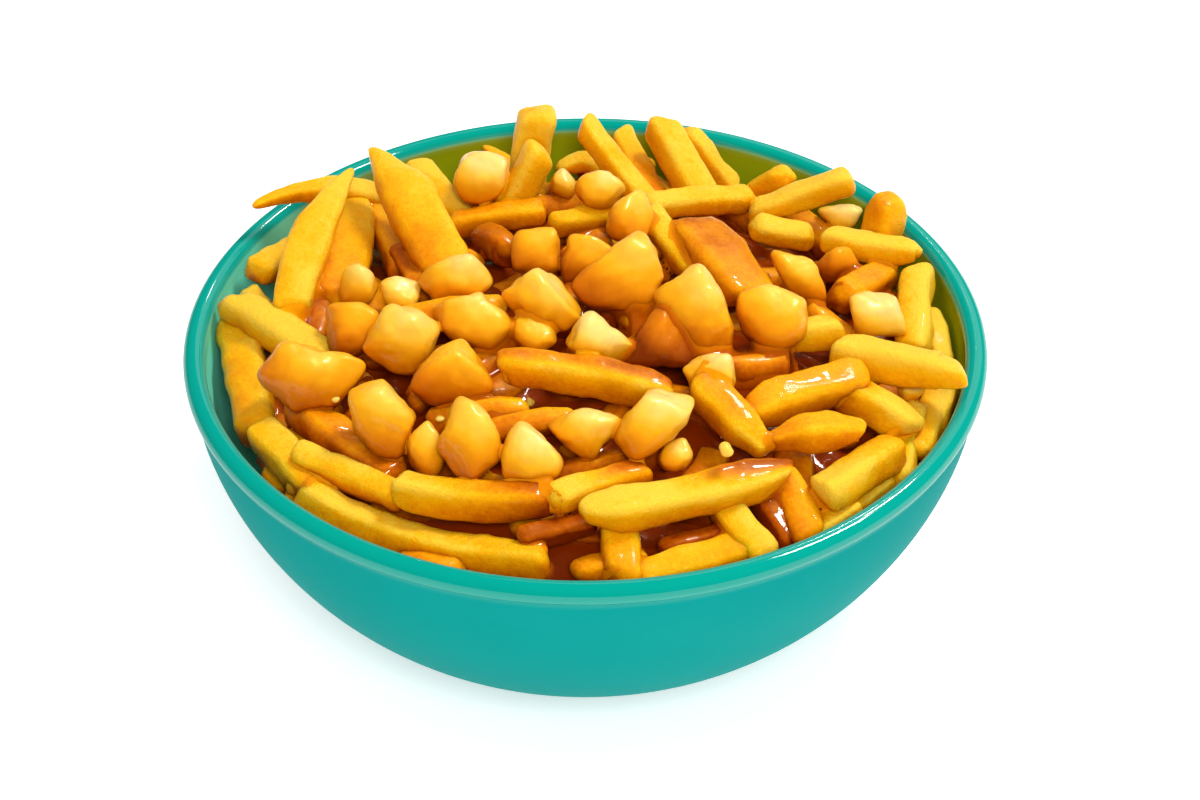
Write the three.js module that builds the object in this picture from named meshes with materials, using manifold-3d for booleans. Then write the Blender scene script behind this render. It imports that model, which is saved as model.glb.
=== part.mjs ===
// Dish of poutine: a glazed bowl heaped with fries, cheese curds and gravy.
// Millimetres, +Z up. The origin is on the table, under the middle of the bowl.

import * as THREE from 'three';
import { mergeVertices } from 'three/addons/utils/BufferGeometryUtils.js';
import Module from 'manifold-3d';

const wasm = await Module();
wasm.setup();

// Bowl
const bowlRadius = 95; // outer radius over the lip
const bowlHeight = 74;
const lipRadius = 2.6; // the lip is a round bead
const bodyRadius = 93.5; // outer wall just under the lip
const footRadius = 30; // outer edge of the flat that the bowl stands on
const footWidth = 5;
const footDepth = 1.5; // the hollow inside the foot
const floorTop = 5.5; // inner floor of the bowl
const floorRadius = 27;
const innerRadius = bowlRadius - 2 * lipRadius; // inner wall at the lip
const roundness = 1.75; // exponent of the wall's curve, 2 is an ellipse
const bowlSides = 40;
const foodSides = 16; // the core and the gravy are under the pieces that show
const wallSteps = 7;
const hollowSteps = 5;
const coreRings = 2;
const lipSteps = 5;
const lipStart = -50; // degrees round the bead, where the outer wall meets it
const lipEnd = 180; // and where the inner wall leaves it

// Heap of food
const moundCrown = 7; // middle of the top layer, above the rim
const moundDrop = 14; // how much lower the top layer is at the wall
const moundRadius = 86;
const coreDepth = 2.5; // from the top layer's middle down to the core
const gap = 0.4; // between the food and the bowl
const clear = 0.3; // between neighbouring foods

// Gravy that stands between the pieces
const gravyRadius = 38;
const gravyFull = 30; // out to here the gravy has its full depth
const gravyTop = -0.5; // from the top layer's middle
const gravyEdge = 0.4; // its thickness at its edge
const gravyRings = 2;

// Make of a fry
const mostThick = 9.5; // toward the eye, unless a row says more
const mostForSixSides = 9; // a wider fry has eight sides
const endBulge = 0.8; // how far the middle of a cut end stands out
const bluntTips = [0.8, 0.8]; // the ends narrow to these shares, unless a row says more
const bluntTaper = [2, 2];

// Make of a curd
const cornerPull = 12; // how strongly a corner draws the outline out from the waist
const cornerSharpness = 14;
const straightShare = 0.6; // the rest of the outline is drawn in between corners
const waistStep = 30; // degrees
const fullness = 0.8; // under 1 is fuller than an ellipsoid
const lumpCount = 5;
const lumpRange = 0.28; // from the deepest dent to the highest swelling, as a share
const dentShare = 0.55; // of the range
const lumpSharpness = 5;
const mostPlainCorners = 4; // an outline with more corners has smaller triangles
const firstSeed = 1000;
const seedStep = 77;

// How the dish is seen in the picture: the pixel places below are read from it
const viewTilt = THREE.MathUtils.degToRad(36); // camera's angle above the table
const viewDistance = 650; // from the camera to the middle of the rim
const viewFocal = 2740; // in pixels
const viewMiddle = { x: 585.7, y: 325.4 }; // pixel where the middle of the rim is seen
const sightRounds = 12; // steps that settle where a line of sight meets the mound

const mergeWithin = 1e-4; // corners of a geometry that are closer than this are one

const towardRight = new THREE.Vector3(1, 0, 0);
const towardTop = new THREE.Vector3(0, Math.sin(viewTilt), Math.cos(viewTilt));
const towardEye = new THREE.Vector3(0, -Math.cos(viewTilt), Math.sin(viewTilt));
const rimMiddle = new THREE.Vector3(0, 0, bowlHeight);
const eye = rimMiddle.clone().addScaledVector(towardEye, viewDistance);

// Fries that show, at true size. Each runs from one pixel to the other, and the third
// number is the lift of its middle line above the mound, in millimetres. wide is seen
// in the picture and thick is across it. bend bows it to the left of its run, and the
// two ends narrow to the shares in tips over the lengths in taper.
const friesAtLeft = [
  { from: [343, 166, 20], to: [290, 323, 2], wide: 9.4, bend: -1.2, tips: [0.3, 0.7], taper: [16, 3] },
  { from: [255, 206, 17], to: [398, 204, -1], wide: 6.5, bend: 3.5, tips: [0.3, 0.8], taper: [14, 2] },
  { from: [354, 206, 5], to: [336, 308, -1], wide: 12.5, tips: [0.6, 0.9], taper: [6, 2] },
  { from: [374, 200, 3], to: [404, 272, -3], wide: 8 },
  { from: [384, 142, 22], to: [454, 282, -2], wide: 14, tips: [0.3, 0.9], taper: [16, 2] },
  { from: [410, 154, 11], to: [465, 220, -4], wide: 7.5 },
  { from: [233, 302, 6], to: [326, 362, -1], wide: 10.2 },
  { from: [237, 322, -1], to: [258, 436, -3], wide: 10 },
  { from: [248, 290, 1], to: [296, 342, -4], wide: 6.5 },
  { from: [256, 272, 5], to: [326, 238, -2], wide: 9 },
  { from: [324, 290, 0], to: [309, 350, -2], wide: 7.5 },
  { from: [296, 404, 0], to: [398, 482, -2], wide: 9.7 },
  { from: [402, 250, 0], to: [430, 300, -3], wide: 7 },
];

const friesAtBack = [
  { from: [539, 110, 22], to: [527, 204, -6], wide: 9.5 },
  { from: [543, 148, 14], to: [505, 212, -3], wide: 9 },
  { from: [485, 146, 7], to: [530, 184, -2], wide: 4.6, tips: [0.3, 0.9], taper: [6, 2] },
  { from: [563, 172, -2], to: [603, 177, -3], wide: 6, bend: 3 },
  { from: [584, 122, 16], to: [658, 218, -4], wide: 7.3 },
  { from: [620, 136, 8], to: [658, 208, -4], wide: 8.2 },
  { from: [661, 126, 14], to: [710, 216, -4], wide: 10.4 },
  { from: [688, 132, 12], to: [735, 192, -3], wide: 6.4 },
  { from: [645, 209, 2], to: [752, 200, 1], wide: 7.8, bend: 1 },
  { from: [748, 197, -4], to: [788, 176, 7], wide: 6.4 },
  { from: [750, 214, -1], to: [853, 180, 15], wide: 7.8 },
  { from: [450, 226, -2], to: [545, 210, 0], wide: 7.5 },
  { from: [552, 225, -1], to: [624, 211, -1], wide: 7.6 },
];

const friesAtRight = [
  { from: [892, 198, 17], to: [874, 270, -3], wide: 10.6, tips: [0.7, 0.9], taper: [4, 2] },
  { from: [825, 239, 3], to: [919, 255, 9], wide: 7.8, tips: [0.9, 0.5], taper: [2, 5] },
  { from: [753, 227, -0.5], to: [814, 238, -0.5], wide: 7.8 },
  { from: [838, 300, -2], to: [893, 271, 1], wide: 9 },
  { from: [918, 274, 5], to: [912, 352, -1], wide: 9 },
  { from: [927, 314, -2], to: [942, 366, -4], wide: 6.4 },
  { from: [690, 224, 4], to: [752, 300, 0], wide: 14, thick: 9.5, tips: [0.75, 0.85], taper: [4, 4] },
  { from: [649, 214, 5], to: [700, 274, -1], wide: 7.6 },
  { from: [780, 336, -1], to: [842, 333, 0], wide: 8.6 },
  { from: [836, 354, 2], to: [966, 377, 9], wide: 9.4, tips: [0.85, 0.6], taper: [2, 8] },
  { from: [748, 415, 1], to: [864, 379, 4], wide: 10.4, bend: 1, tips: [0.7, 0.7], taper: [6, 4] },
  { from: [768, 444, 2], to: [863, 434, 5], wide: 9.8, bend: 1.5, tips: [0.4, 0.45], taper: [9, 8] },
  { from: [838, 394, 0], to: [908, 434, 1], wide: 9.8, bend: 1.5 },
  { from: [822, 498, 4], to: [898, 450, -1], wide: 9.6, tips: [0.85, 0.8], taper: [1, 3] },
  { from: [917, 410, -1], to: [897, 488, -4], wide: 7 },
  { from: [948, 380, 0], to: [916, 458, -3], wide: 8.4 },
];

const friesAtFront = [
  { from: [798, 550, -4], to: [858, 506, 0], wide: 6.5 },
  { from: [850, 512, -4], to: [892, 477, -4], wide: 5.5 },
  { from: [778, 474, -2], to: [811, 543, -2], wide: 7.8 },
  { from: [718, 498, -1], to: [767, 561, -2], wide: 8.2 },
  { from: [582, 513, 6], to: [792, 470, 4], wide: 10.2, bend: -1.5, tips: [0.45, 0.4], taper: [8, 9] },
  { from: [618, 507, -1], to: [622, 583, -1], wide: 8.4 },
  { from: [634, 579, -4], to: [750, 548, -3], wide: 8.6 },
  { from: [574, 577, -4], to: [644, 560, -5], wide: 7.5 },
  { from: [750, 480, -3], to: [793, 546, -4], wide: 7 },
  { from: [300, 490, 0], to: [548, 562, -3], wide: 8.4, bend: -3.5 },
  { from: [260, 430, 1], to: [314, 490, -2], wide: 9.6 },
  { from: [296, 454, 2], to: [406, 499, -1], wide: 7.6 },
  { from: [286, 482, -2], to: [336, 488, -4], wide: 6 },
  { from: [395, 486, 3], to: [552, 496, 2], wide: 9, bend: -2.5 },
  { from: [548, 500, 3], to: [648, 472, -1], wide: 7.6 },
  { from: [518, 540, -1], to: [596, 523, -3], wide: 5.8 },
  { from: [660, 550, -4], to: [730, 531, -4], wide: 5.4 },
  {
    from: [500, 366, 3], to: [670, 394, 1], wide: 10, thick: 11,
    bend: 1.2, tips: [0.7, 0.6], taper: [4, 8],
  },
  { from: [698, 382, 4], to: [766, 452, 1], wide: 10, tips: [0.8, 0.4], taper: [3, 8] },
];

const fries = [...friesAtLeft, ...friesAtBack, ...friesAtRight, ...friesAtFront];

// Cheese curds. Each is seen round a middle pixel and lies on the core, or higher by
// raise where fries carry it. Its outline reaches from the middle to each corner, given
// as the angle in the picture from the right and the reach in millimetres, and draws in
// to waist between them. deep is its thickness toward the eye.
const curdsAtBack = [
  { at: [482, 178], raise: 4, corners: [[150, 7], [30, 7.4], [-90, 6.5]], waist: 6, deep: 12 },
  { at: [564, 186], raise: 0, corners: [[90, 4], [-60, 4]], waist: 3, deep: 7 },
  { at: [600, 190], raise: 3, corners: [[170, 7], [60, 5.6], [0, 6.6]], waist: 5, deep: 10 },
  { at: [842, 218], raise: 0.5, corners: [[160, 5.6], [20, 5.6]], waist: 3.6, deep: 9 },
  { at: [632, 222], raise: 3.6, corners: [[75, 8], [200, 5.6], [-70, 7.6]], waist: 5, deep: 10 },
  { at: [535, 252], raise: 0, corners: [[143, 7], [45, 7], [-35, 8], [218, 7]], waist: 5, deep: 11 },
  { at: [585, 260], raise: 0, corners: [[120, 6.5], [20, 7], [230, 6.5]], waist: 5, deep: 10 },
];

const curdsAtRight = [
  {
    at: [876, 317], raise: 1, waist: 4.6, deep: 10,
    corners: [[138, 8], [43, 5.8], [-31, 8], [-129, 6.3]],
  },
  { at: [838, 267], raise: 0, corners: [[180, 5.6], [0, 5.6]], waist: 4, deep: 8 },
  {
    at: [622, 280], raise: 1, waist: 6.6, deep: 13,
    corners: [[187, 12], [69, 12.4], [-5, 10], [-57, 9.8], [217, 10]],
  },
  {
    at: [700, 315], raise: 3, waist: 6.4, deep: 13,
    corners: [[91, 11.4], [157, 10], [266, 9.4], [-44, 10.2]],
  },
  { at: [658, 343], raise: 0, corners: [[83, 8.4], [-29, 9.2], [214, 9.2]], waist: 5.4, deep: 11 },
  { at: [597, 344], raise: 1, corners: [[99, 7.6], [-9, 9], [176, 8.3], [-55, 6]], waist: 4.8, deep: 11 },
  {
    at: [771, 319], raise: 2, waist: 7, deep: 13,
    corners: [[141, 8.9], [27, 8.6], [244, 8.1], [-30, 8]],
  },
  { at: [800, 279], raise: 1, corners: [[136, 8.4], [-44, 9.2]], waist: 4.2, deep: 10 },
  { at: [712, 378], raise: 1, corners: [[160, 6.6], [50, 6.4], [-50, 6]], waist: 5, deep: 11 },
  { at: [909, 393], raise: 1.5, corners: [[145, 3.9], [10, 3.6], [-90, 3.2]], waist: 2.4, deep: 5 },
];

const curdsAtLeft = [
  { at: [359, 284], raise: 3, corners: [[90, 5.2], [-60, 5.2], [230, 5]], waist: 4.6, deep: 10 },
  { at: [401, 293], raise: 0.3, corners: [[150, 5.4], [20, 5.4], [-60, 4.6]], waist: 4, deep: 9 },
  { at: [457, 281], raise: 0.2, corners: [[64, 7], [-3, 8.6], [226, 8], [178, 9]], waist: 5.2, deep: 12 },
  {
    at: [471, 320], raise: 0.6, waist: 5.4, deep: 12,
    corners: [[167, 10], [70, 6.5], [-7, 9.7], [-46, 8.6]],
  },
  { at: [352, 329], raise: 1, corners: [[135, 7.6], [35, 7], [-40, 7], [-137, 8]], waist: 5.6, deep: 11 },
  {
    at: [403, 340], raise: 0, waist: 6.8, deep: 13,
    corners: [[197, 10.2], [109, 8.4], [25, 9], [-77, 8.2]],
  },
  {
    at: [544, 300], raise: 1.6, waist: 5.8, deep: 12,
    corners: [[104, 7.4], [-18, 9.6], [-54, 9], [174, 9.4]],
  },
  { at: [533, 334], raise: -1, corners: [[130, 5.4], [-20, 5.6]], waist: 4.4, deep: 9 },
  {
    at: [452, 374], raise: 0.2, waist: 6.8, deep: 13,
    corners: [[70, 8.6], [-20, 9.3], [199, 9.6], [250, 7]],
  },
  {
    at: [312, 375], raise: 3, waist: 6.6, deep: 13,
    corners: [[179, 11.4], [129, 9.4], [11, 12.8], [240, 8.2], [-58, 8]],
  },
  { at: [382, 419], raise: 3, corners: [[90, 8.8], [142, 9], [5, 7], [-79, 11.4]], waist: 6, deep: 12 },
];

const curdsAtFront = [
  { at: [427, 450], raise: 0, corners: [[90, 6.4], [-90, 7]], waist: 4.4, deep: 10 },
  {
    at: [468, 440], raise: 2.6, waist: 6, deep: 12,
    corners: [[100, 9.5], [55, 8], [-25, 7.8], [-92, 10.2]],
  },
  {
    at: [527, 457], raise: 2, waist: 5.4, deep: 12,
    corners: [[100, 8.6], [-5, 7.6], [-44, 7.4], [232, 8.2]],
  },
  { at: [583, 434], raise: 0, corners: [[164, 8], [23, 8.6], [-72, 5.8]], waist: 4.8, deep: 11 },
  {
    at: [654, 421], raise: 3.6, waist: 5.2, deep: 12,
    corners: [[203, 9.4], [245, 9.6], [74, 8.8], [26, 10]],
  },
  { at: [675, 457], raise: -0.4, corners: [[60, 4.4], [-100, 3.8]], waist: 3.4, deep: 7 },
];

const curds = [...curdsAtBack, ...curdsAtRight, ...curdsAtLeft, ...curdsAtFront];

// Outer wall at a share of its height: a superellipse from the foot up to the lip
function wallCurve(share, low, high, inner, outer) {
  const angle = share * Math.PI / 2;
  const across = Math.sin(angle) ** (2 / roundness);
  const up = 1 - Math.cos(angle) ** (2 / roundness);
  return new THREE.Vector2(inner + (outer - inner) * across, low + (high - low) * up);
}

// A corner of the bowl's hollow, counted from its floor
function hollowPoint(step) {
  const top = bowlHeight - lipRadius;
  return wallCurve(step / hollowSteps, floorTop, top, floorRadius, innerRadius);
}

// Radius of the bowl's hollow at a height
function hollowRadius(z) {
  const top = bowlHeight - lipRadius;
  if (z >= top) {
    return innerRadius;
  }
  const share = Math.max(0, (z - floorTop) / (top - floorTop));
  const cosine = (1 - share) ** (roundness / 2);
  const across = Math.sqrt(1 - cosine * cosine) ** (2 / roundness);
  return floorRadius + (innerRadius - floorRadius) * across;
}

// Height of the top layer's middle at a distance from the bowl's axis
function moundHeight(radius) {
  return bowlHeight + moundCrown - moundDrop * (radius / moundRadius) ** 2;
}

// Point that a pixel shows, at a lift above the mound
function placed([x, y, lift]) {
  const ray = towardEye.clone().negate();
  ray.addScaledVector(towardRight, (x - viewMiddle.x) / viewFocal);
  ray.addScaledVector(towardTop, (viewMiddle.y - y) / viewFocal);
  const point = rimMiddle.clone();
  for (let round = 0; round < sightRounds; round += 1) {
    const height = moundHeight(Math.hypot(point.x, point.y)) + lift;
    point.copy(eye).addScaledVector(ray, (height - eye.z) / ray.z);
  }
  return point;
}

// A closed geometry as a solid that can be joined and cut
function solidOf(geometry) {
  geometry.deleteAttribute('normal');
  geometry.deleteAttribute('uv');
  const merged = mergeVertices(geometry, mergeWithin);
  const index = merged.index.array;
  const corners = [];
  for (let i = 0; i < index.length; i += 3) {
    const [a, b, c] = [index[i], index[i + 1], index[i + 2]];
    if (a !== b && b !== c && c !== a) {
      corners.push(a, b, c);
    }
  }
  return new wasm.Manifold(new wasm.Mesh({
    numProp: 3,
    vertProperties: new Float32Array(merged.attributes.position.array),
    triVerts: new Uint32Array(corners),
  }));
}

function turned(profile, sides) {
  const geometry = new THREE.LatheGeometry(profile, sides);
  geometry.rotateX(Math.PI / 2);
  return solidOf(geometry);
}

// The bowl. grow makes it thicker all over, for clearing a space round it.
function bowlSolid(grow = 0) {
  const profile = [
    new THREE.Vector2(0, footDepth - grow),
    new THREE.Vector2(footRadius - footWidth - grow, footDepth - grow),
    new THREE.Vector2(footRadius - footWidth - grow, -grow),
    new THREE.Vector2(footRadius + grow, -grow),
  ];
  const wallTop = bowlHeight - 2 * lipRadius;
  for (let i = 1; i <= wallSteps; i += 1) {
    const point = wallCurve(i / wallSteps, 0, wallTop, footRadius, bodyRadius);
    profile.push(new THREE.Vector2(point.x + grow, point.y));
  }
  const lip = new THREE.Vector2(bowlRadius - lipRadius, bowlHeight - lipRadius);
  for (let i = 0; i <= lipSteps; i += 1) {
    const angle = THREE.MathUtils.degToRad(lipStart + (lipEnd - lipStart) * i / lipSteps);
    const reach = lipRadius + grow;
    profile.push(new THREE.Vector2(lip.x + reach * Math.cos(angle), lip.y + reach * Math.sin(angle)));
  }
  for (let i = hollowSteps - 1; i >= 0; i -= 1) {
    const point = hollowPoint(i);
    profile.push(new THREE.Vector2(point.x - grow, point.y + grow));
  }
  profile.push(new THREE.Vector2(0, floorTop + grow));
  return turned(profile, bowlSides);
}

// The body of the heap under its top layer, which fills the bowl's hollow
function coreSolid(grow = 0) {
  const profile = [new THREE.Vector2(0, floorTop + gap)];
  const edgeHeight = moundHeight(moundRadius) - coreDepth;
  for (let i = 0; i < hollowSteps && hollowPoint(i).y < edgeHeight; i += 1) {
    const point = hollowPoint(i);
    profile.push(new THREE.Vector2(point.x - gap, point.y + gap));
  }
  for (let i = coreRings; i >= 0; i -= 1) {
    const radius = (hollowRadius(edgeHeight) - gap) * i / coreRings;
    profile.push(new THREE.Vector2(radius, moundHeight(radius) - coreDepth + grow));
  }
  return turned(profile, foodSides);
}

// The gravy before the pieces are cut out of it: a layer on the core, thin at its edge
function gravySolid() {
  const bottom = [];
  const top = [];
  for (let i = 0; i <= gravyRings; i += 1) {
    const radius = gravyRadius * i / gravyRings;
    const thin = Math.max(0, (radius - gravyFull) / (gravyRadius - gravyFull));
    const under = moundHeight(radius) - coreDepth + 2 * clear;
    const over = moundHeight(radius) + gravyTop;
    bottom.push(new THREE.Vector2(radius, under));
    top.push(new THREE.Vector2(radius, over + (under + gravyEdge - over) * thin));
  }
  return turned([...bottom, ...top.reverse()], foodSides);
}

// Moves a point on a piece's middle line in from the wall, unless it lies over the rim
function keepInHollow(point, half) {
  if (point.z - half > bowlHeight) {
    return;
  }
  const radius = Math.hypot(point.x, point.y);
  const limit = hollowRadius(Math.min(point.z, bowlHeight - lipRadius)) - half - gap;
  if (radius > limit) {
    point.x *= limit / radius;
    point.y *= limit / radius;
  }
}

// One fry: a bar with broad faces and blunt corners, which may bow along its run
function frySolid(fry, grow = 0) {
  const start = placed(fry.from);
  const end = placed(fry.to);
  const run = end.clone().sub(start);
  const length = run.length();
  const along = run.clone().normalize();
  const across = new THREE.Vector3().crossVectors(towardEye, along).normalize();
  const { wide, thick = Math.min(wide, mostThick) } = fry;
  const { bend = 0, tips = bluntTips, taper = bluntTaper } = fry;
  const places = [0, taper[0], length - taper[1], length];
  const shares = [tips[0], 1, 1, tips[1]];
  if (bend !== 0) {
    places.splice(2, 0, length / 2);
    shares.splice(2, 0, 1);
  }
  const last = places.length - 1;
  const sides = wide > mostForSixSides ? 8 : 6;
  const geometry = new THREE.CylinderGeometry(1, 1, 1, sides, last, false, Math.PI / sides);
  const position = geometry.attributes.position;
  for (let i = 0; i < position.count; i += 1) {
    const ring = Math.round((position.getY(i) + 0.5) * last);
    const u = places[ring] / length;
    const middle = start.clone().lerp(end, u).addScaledVector(across, bend * 4 * u * (1 - u));
    const reach = Math.hypot(position.getX(i), position.getZ(i));
    const slope = bend * 4 * (1 - 2 * u) / length;
    const tangent = along.clone().addScaledVector(across, slope).normalize();
    const side = new THREE.Vector3().crossVectors(tangent, towardEye).normalize();
    const front = new THREE.Vector3().crossVectors(side, tangent);
    const squared = (value) => Math.sign(value) * Math.sqrt(Math.abs(value)) * reach;
    keepInHollow(middle, wide / 2);
    const point = middle;
    point.addScaledVector(side, squared(position.getX(i)) * (wide / 2 * shares[ring] + grow));
    point.addScaledVector(front, squared(position.getZ(i)) * (thick / 2 * shares[ring] + grow));
    const bulge = reach < 0.5 ? endBulge : 0;
    if (ring === 0) {
      point.addScaledVector(tangent, -grow - bulge);
    }
    if (ring === last) {
      point.addScaledVector(tangent, grow + bulge);
    }
    position.setXYZ(i, point.x, point.y, point.z);
  }
  return solidOf(geometry);
}

// Random draws from 0 to 1 that come out the same each time
function randomFrom(seed) {
  const factor = 16807;
  const modulus = 2147483647;
  let state = seed;
  return () => {
    state = (state * factor) % modulus;
    return state / modulus;
  };
}

// A curd's outline if it were only drawn out from the waist to each corner
function lobeReach(curd, angle) {
  let reach = curd.waist;
  let weight = 1;
  for (const [corner, far] of curd.corners) {
    const turn = angle - THREE.MathUtils.degToRad(corner);
    const near = cornerPull * Math.exp(cornerSharpness * (Math.cos(turn) - 1));
    reach += near * far;
    weight += near;
  }
  return reach / weight;
}

// A curd's outline if it ran straight between its corners, and round the waist
function straightReach(curd, angle) {
  const spots = curd.corners.map(([turn, far]) => spotAt(turn, far));
  for (let turn = 0; turn < 360; turn += waistStep) {
    spots.push(spotAt(turn, curd.waist));
  }
  const ray = new THREE.Vector2(Math.cos(angle), Math.sin(angle));
  let reach = curd.waist;
  for (const one of spots) {
    for (const two of spots) {
      const area = one.cross(two);
      const between = one.cross(ray) >= 0 && ray.cross(two) >= 0;
      if (area > 0 && between) {
        reach = Math.max(reach, area / ray.cross(two.clone().sub(one)));
      }
    }
  }
  return reach;
}

function spotAt(turn, far) {
  const angle = THREE.MathUtils.degToRad(turn);
  return new THREE.Vector2(far * Math.cos(angle), far * Math.sin(angle));
}

// How far a curd's outline reaches at an angle in the picture
function outlineReach(curd, angle) {
  return THREE.MathUtils.lerp(lobeReach(curd, angle), straightReach(curd, angle), straightShare);
}

// A few low dents and swellings for a curd, each round a direction
function lumpsOf(number) {
  const random = randomFrom(firstSeed + seedStep * number);
  const lumps = [];
  for (let i = 0; i < lumpCount; i += 1) {
    const direction = new THREE.Vector3(random() - 0.5, random() - 0.5, random() - 0.5);
    const height = (random() - dentShare) * lumpRange;
    lumps.push({ direction: direction.normalize(), height });
  }
  return lumps;
}

// One curd: a lump with soft corners, a little larger by grow for clearing a space
function curdSolid(curd, number, grow = 0) {
  const half = curd.deep / 2;
  const sits = Math.hypot(half * Math.sin(viewTilt), curd.waist * Math.cos(viewTilt));
  const middle = placed([...curd.at, curd.raise + sits - coreDepth]);
  keepInHollow(middle, curd.waist);
  const lumps = lumpsOf(number);
  const geometry = new THREE.IcosahedronGeometry(1, curd.corners.length > mostPlainCorners ? 2 : 1);
  const position = geometry.attributes.position;
  const direction = new THREE.Vector3();
  for (let i = 0; i < position.count; i += 1) {
    direction.fromBufferAttribute(position, i);
    let swell = 1;
    for (const lump of lumps) {
      swell += lump.height * Math.exp(lumpSharpness * (direction.dot(lump.direction) - 1));
    }
    const angle = Math.atan2(direction.y, direction.x);
    const reach = outlineReach(curd, angle) * swell + grow;
    const outward = Math.hypot(direction.x, direction.y) ** fullness;
    const facing = Math.sign(direction.z) * Math.abs(direction.z) ** fullness;
    const point = middle.clone();
    point.addScaledVector(towardRight, Math.cos(angle) * outward * reach);
    point.addScaledVector(towardTop, Math.sin(angle) * outward * reach);
    point.addScaledVector(towardEye, facing * (half * swell + grow));
    position.setXYZ(i, point.x, point.y, point.z);
  }
  return solidOf(geometry);
}

function joined(solids) {
  return solids.reduce((all, solid) => all.add(solid));
}

// The largest body of a solid, without the scraps that a cut leaves
function largest(solid) {
  const bodies = solid.decompose();
  return bodies.reduce((best, body) => (body.volume() > best.volume() ? body : best));
}

// The curds, each cut back from the core, the bowl and the curds before it
function curdSolids() {
  const around = coreSolid(clear).add(bowlSolid(gap));
  const done = [];
  return curds.map((curd, number) => {
    let solid = curdSolid(curd, number).subtract(around);
    for (const other of done) {
      solid = solid.subtract(other);
    }
    done.push(curdSolid(curd, number, clear));
    return largest(solid);
  });
}

// The core with the fries fused on, cut back from the curds and the bowl
function heapSolid() {
  const grownCurds = joined(curds.map((curd, number) => curdSolid(curd, number, clear)));
  const bars = joined(fries.map((fry) => frySolid(fry))).subtract(grownCurds);
  return largest(coreSolid().add(bars).subtract(bowlSolid(gap)));
}

function gravyBetween() {
  const grownFries = joined(fries.map((fry) => frySolid(fry, clear)));
  const grownCurds = joined(curds.map((curd, number) => curdSolid(curd, number, clear)));
  return largest(gravySolid().subtract(grownFries).subtract(grownCurds));
}

function meshOf(name, solid, { color, roughness }) {
  const { vertProperties, triVerts } = solid.getMesh();
  const geometry = new THREE.BufferGeometry();
  geometry.setAttribute('position', new THREE.BufferAttribute(new Float32Array(vertProperties), 3));
  geometry.setIndex(new THREE.BufferAttribute(new Uint32Array(triVerts), 1));
  geometry.computeVertexNormals();
  const material = new THREE.MeshStandardMaterial({ color, roughness, metalness: 0 });
  const mesh = new THREE.Mesh(geometry, material);
  mesh.name = name;
  return mesh;
}

const turquoiseGlaze = { color: 0x14b5aa, roughness: 0.15 };
const goldenFry = { color: 0xf2b21c, roughness: 0.5 };
const brownGravy = { color: 0x9a3c06, roughness: 0.2 };
const waxyCurd = { color: 0xf4cf62, roughness: 0.35 };

const dish = new THREE.Group();
dish.add(meshOf('bowl', bowlSolid(), turquoiseGlaze));
dish.add(meshOf('fries_heap', heapSolid(), goldenFry));
dish.add(meshOf('gravy', gravyBetween(), brownGravy));
curdSolids().forEach((solid, number) => {
  const name = `curd_${String(number + 1).padStart(2, '0')}`;
  dish.add(meshOf(name, solid, waxyCurd));
});

export default dish;
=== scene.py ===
# Dish of poutine: a glazed bowl heaped with fries, cheese curds and gravy.
# Shapes are worked out in millimetres, in the part's own frame, and made in metres.

import math

import bmesh
import bpy
import numpy as np
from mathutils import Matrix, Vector
from mathutils.bvhtree import BVHTree


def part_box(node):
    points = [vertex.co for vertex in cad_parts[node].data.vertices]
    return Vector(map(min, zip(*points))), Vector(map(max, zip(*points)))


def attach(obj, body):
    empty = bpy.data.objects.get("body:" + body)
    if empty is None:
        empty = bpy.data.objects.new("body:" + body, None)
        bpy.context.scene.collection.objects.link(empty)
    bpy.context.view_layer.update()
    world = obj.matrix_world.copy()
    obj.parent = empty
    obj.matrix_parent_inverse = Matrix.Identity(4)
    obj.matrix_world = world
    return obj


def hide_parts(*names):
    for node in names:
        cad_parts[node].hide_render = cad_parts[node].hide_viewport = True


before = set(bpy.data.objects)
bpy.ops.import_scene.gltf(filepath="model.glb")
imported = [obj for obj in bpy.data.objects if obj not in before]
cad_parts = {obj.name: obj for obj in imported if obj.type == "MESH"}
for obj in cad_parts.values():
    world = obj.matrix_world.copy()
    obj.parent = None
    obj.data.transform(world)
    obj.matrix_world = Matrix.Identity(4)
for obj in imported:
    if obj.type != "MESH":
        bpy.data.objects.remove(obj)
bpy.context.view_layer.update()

MM = 0.001

# Bowl
bowl_low, bowl_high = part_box("bowl")
bowl_radius = bowl_high.x / MM
bowl_height = bowl_high.z / MM
lip_radius = 2.6
body_radius = 93.5
foot_radius = 30
foot_width = 5
foot_depth = 1.5
floor_top = 5.5
floor_radius = 27
inner_radius = bowl_radius - 2 * lip_radius
roundness = 1.75
bowl_sides = 192

# Heap of food
mound_crown = 7
mound_drop = 14
mound_radius = 86
core_depth = 2.5
gap = 0.4

# How the dish is seen in the picture
view_tilt = math.radians(36)
view_distance = 650
view_focal = 2740
view_middle = (585.7, 325.4)
picture_size = (1200, 800)
sight_rounds = 12

toward_right = np.array([1.0, 0.0, 0.0])
toward_top = np.array([0.0, math.sin(view_tilt), math.cos(view_tilt)])
toward_eye = np.array([0.0, -math.cos(view_tilt), math.sin(view_tilt)])

# Painted light: faces turned this way, toward the key light, get less sauce colour and show paler, and faces turned
# away show more orange
painted_light_toward = np.array([0.35, 0.1, 0.93])
rim_middle = np.array([0.0, 0.0, bowl_height])
eye = rim_middle + toward_eye * view_distance


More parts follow.
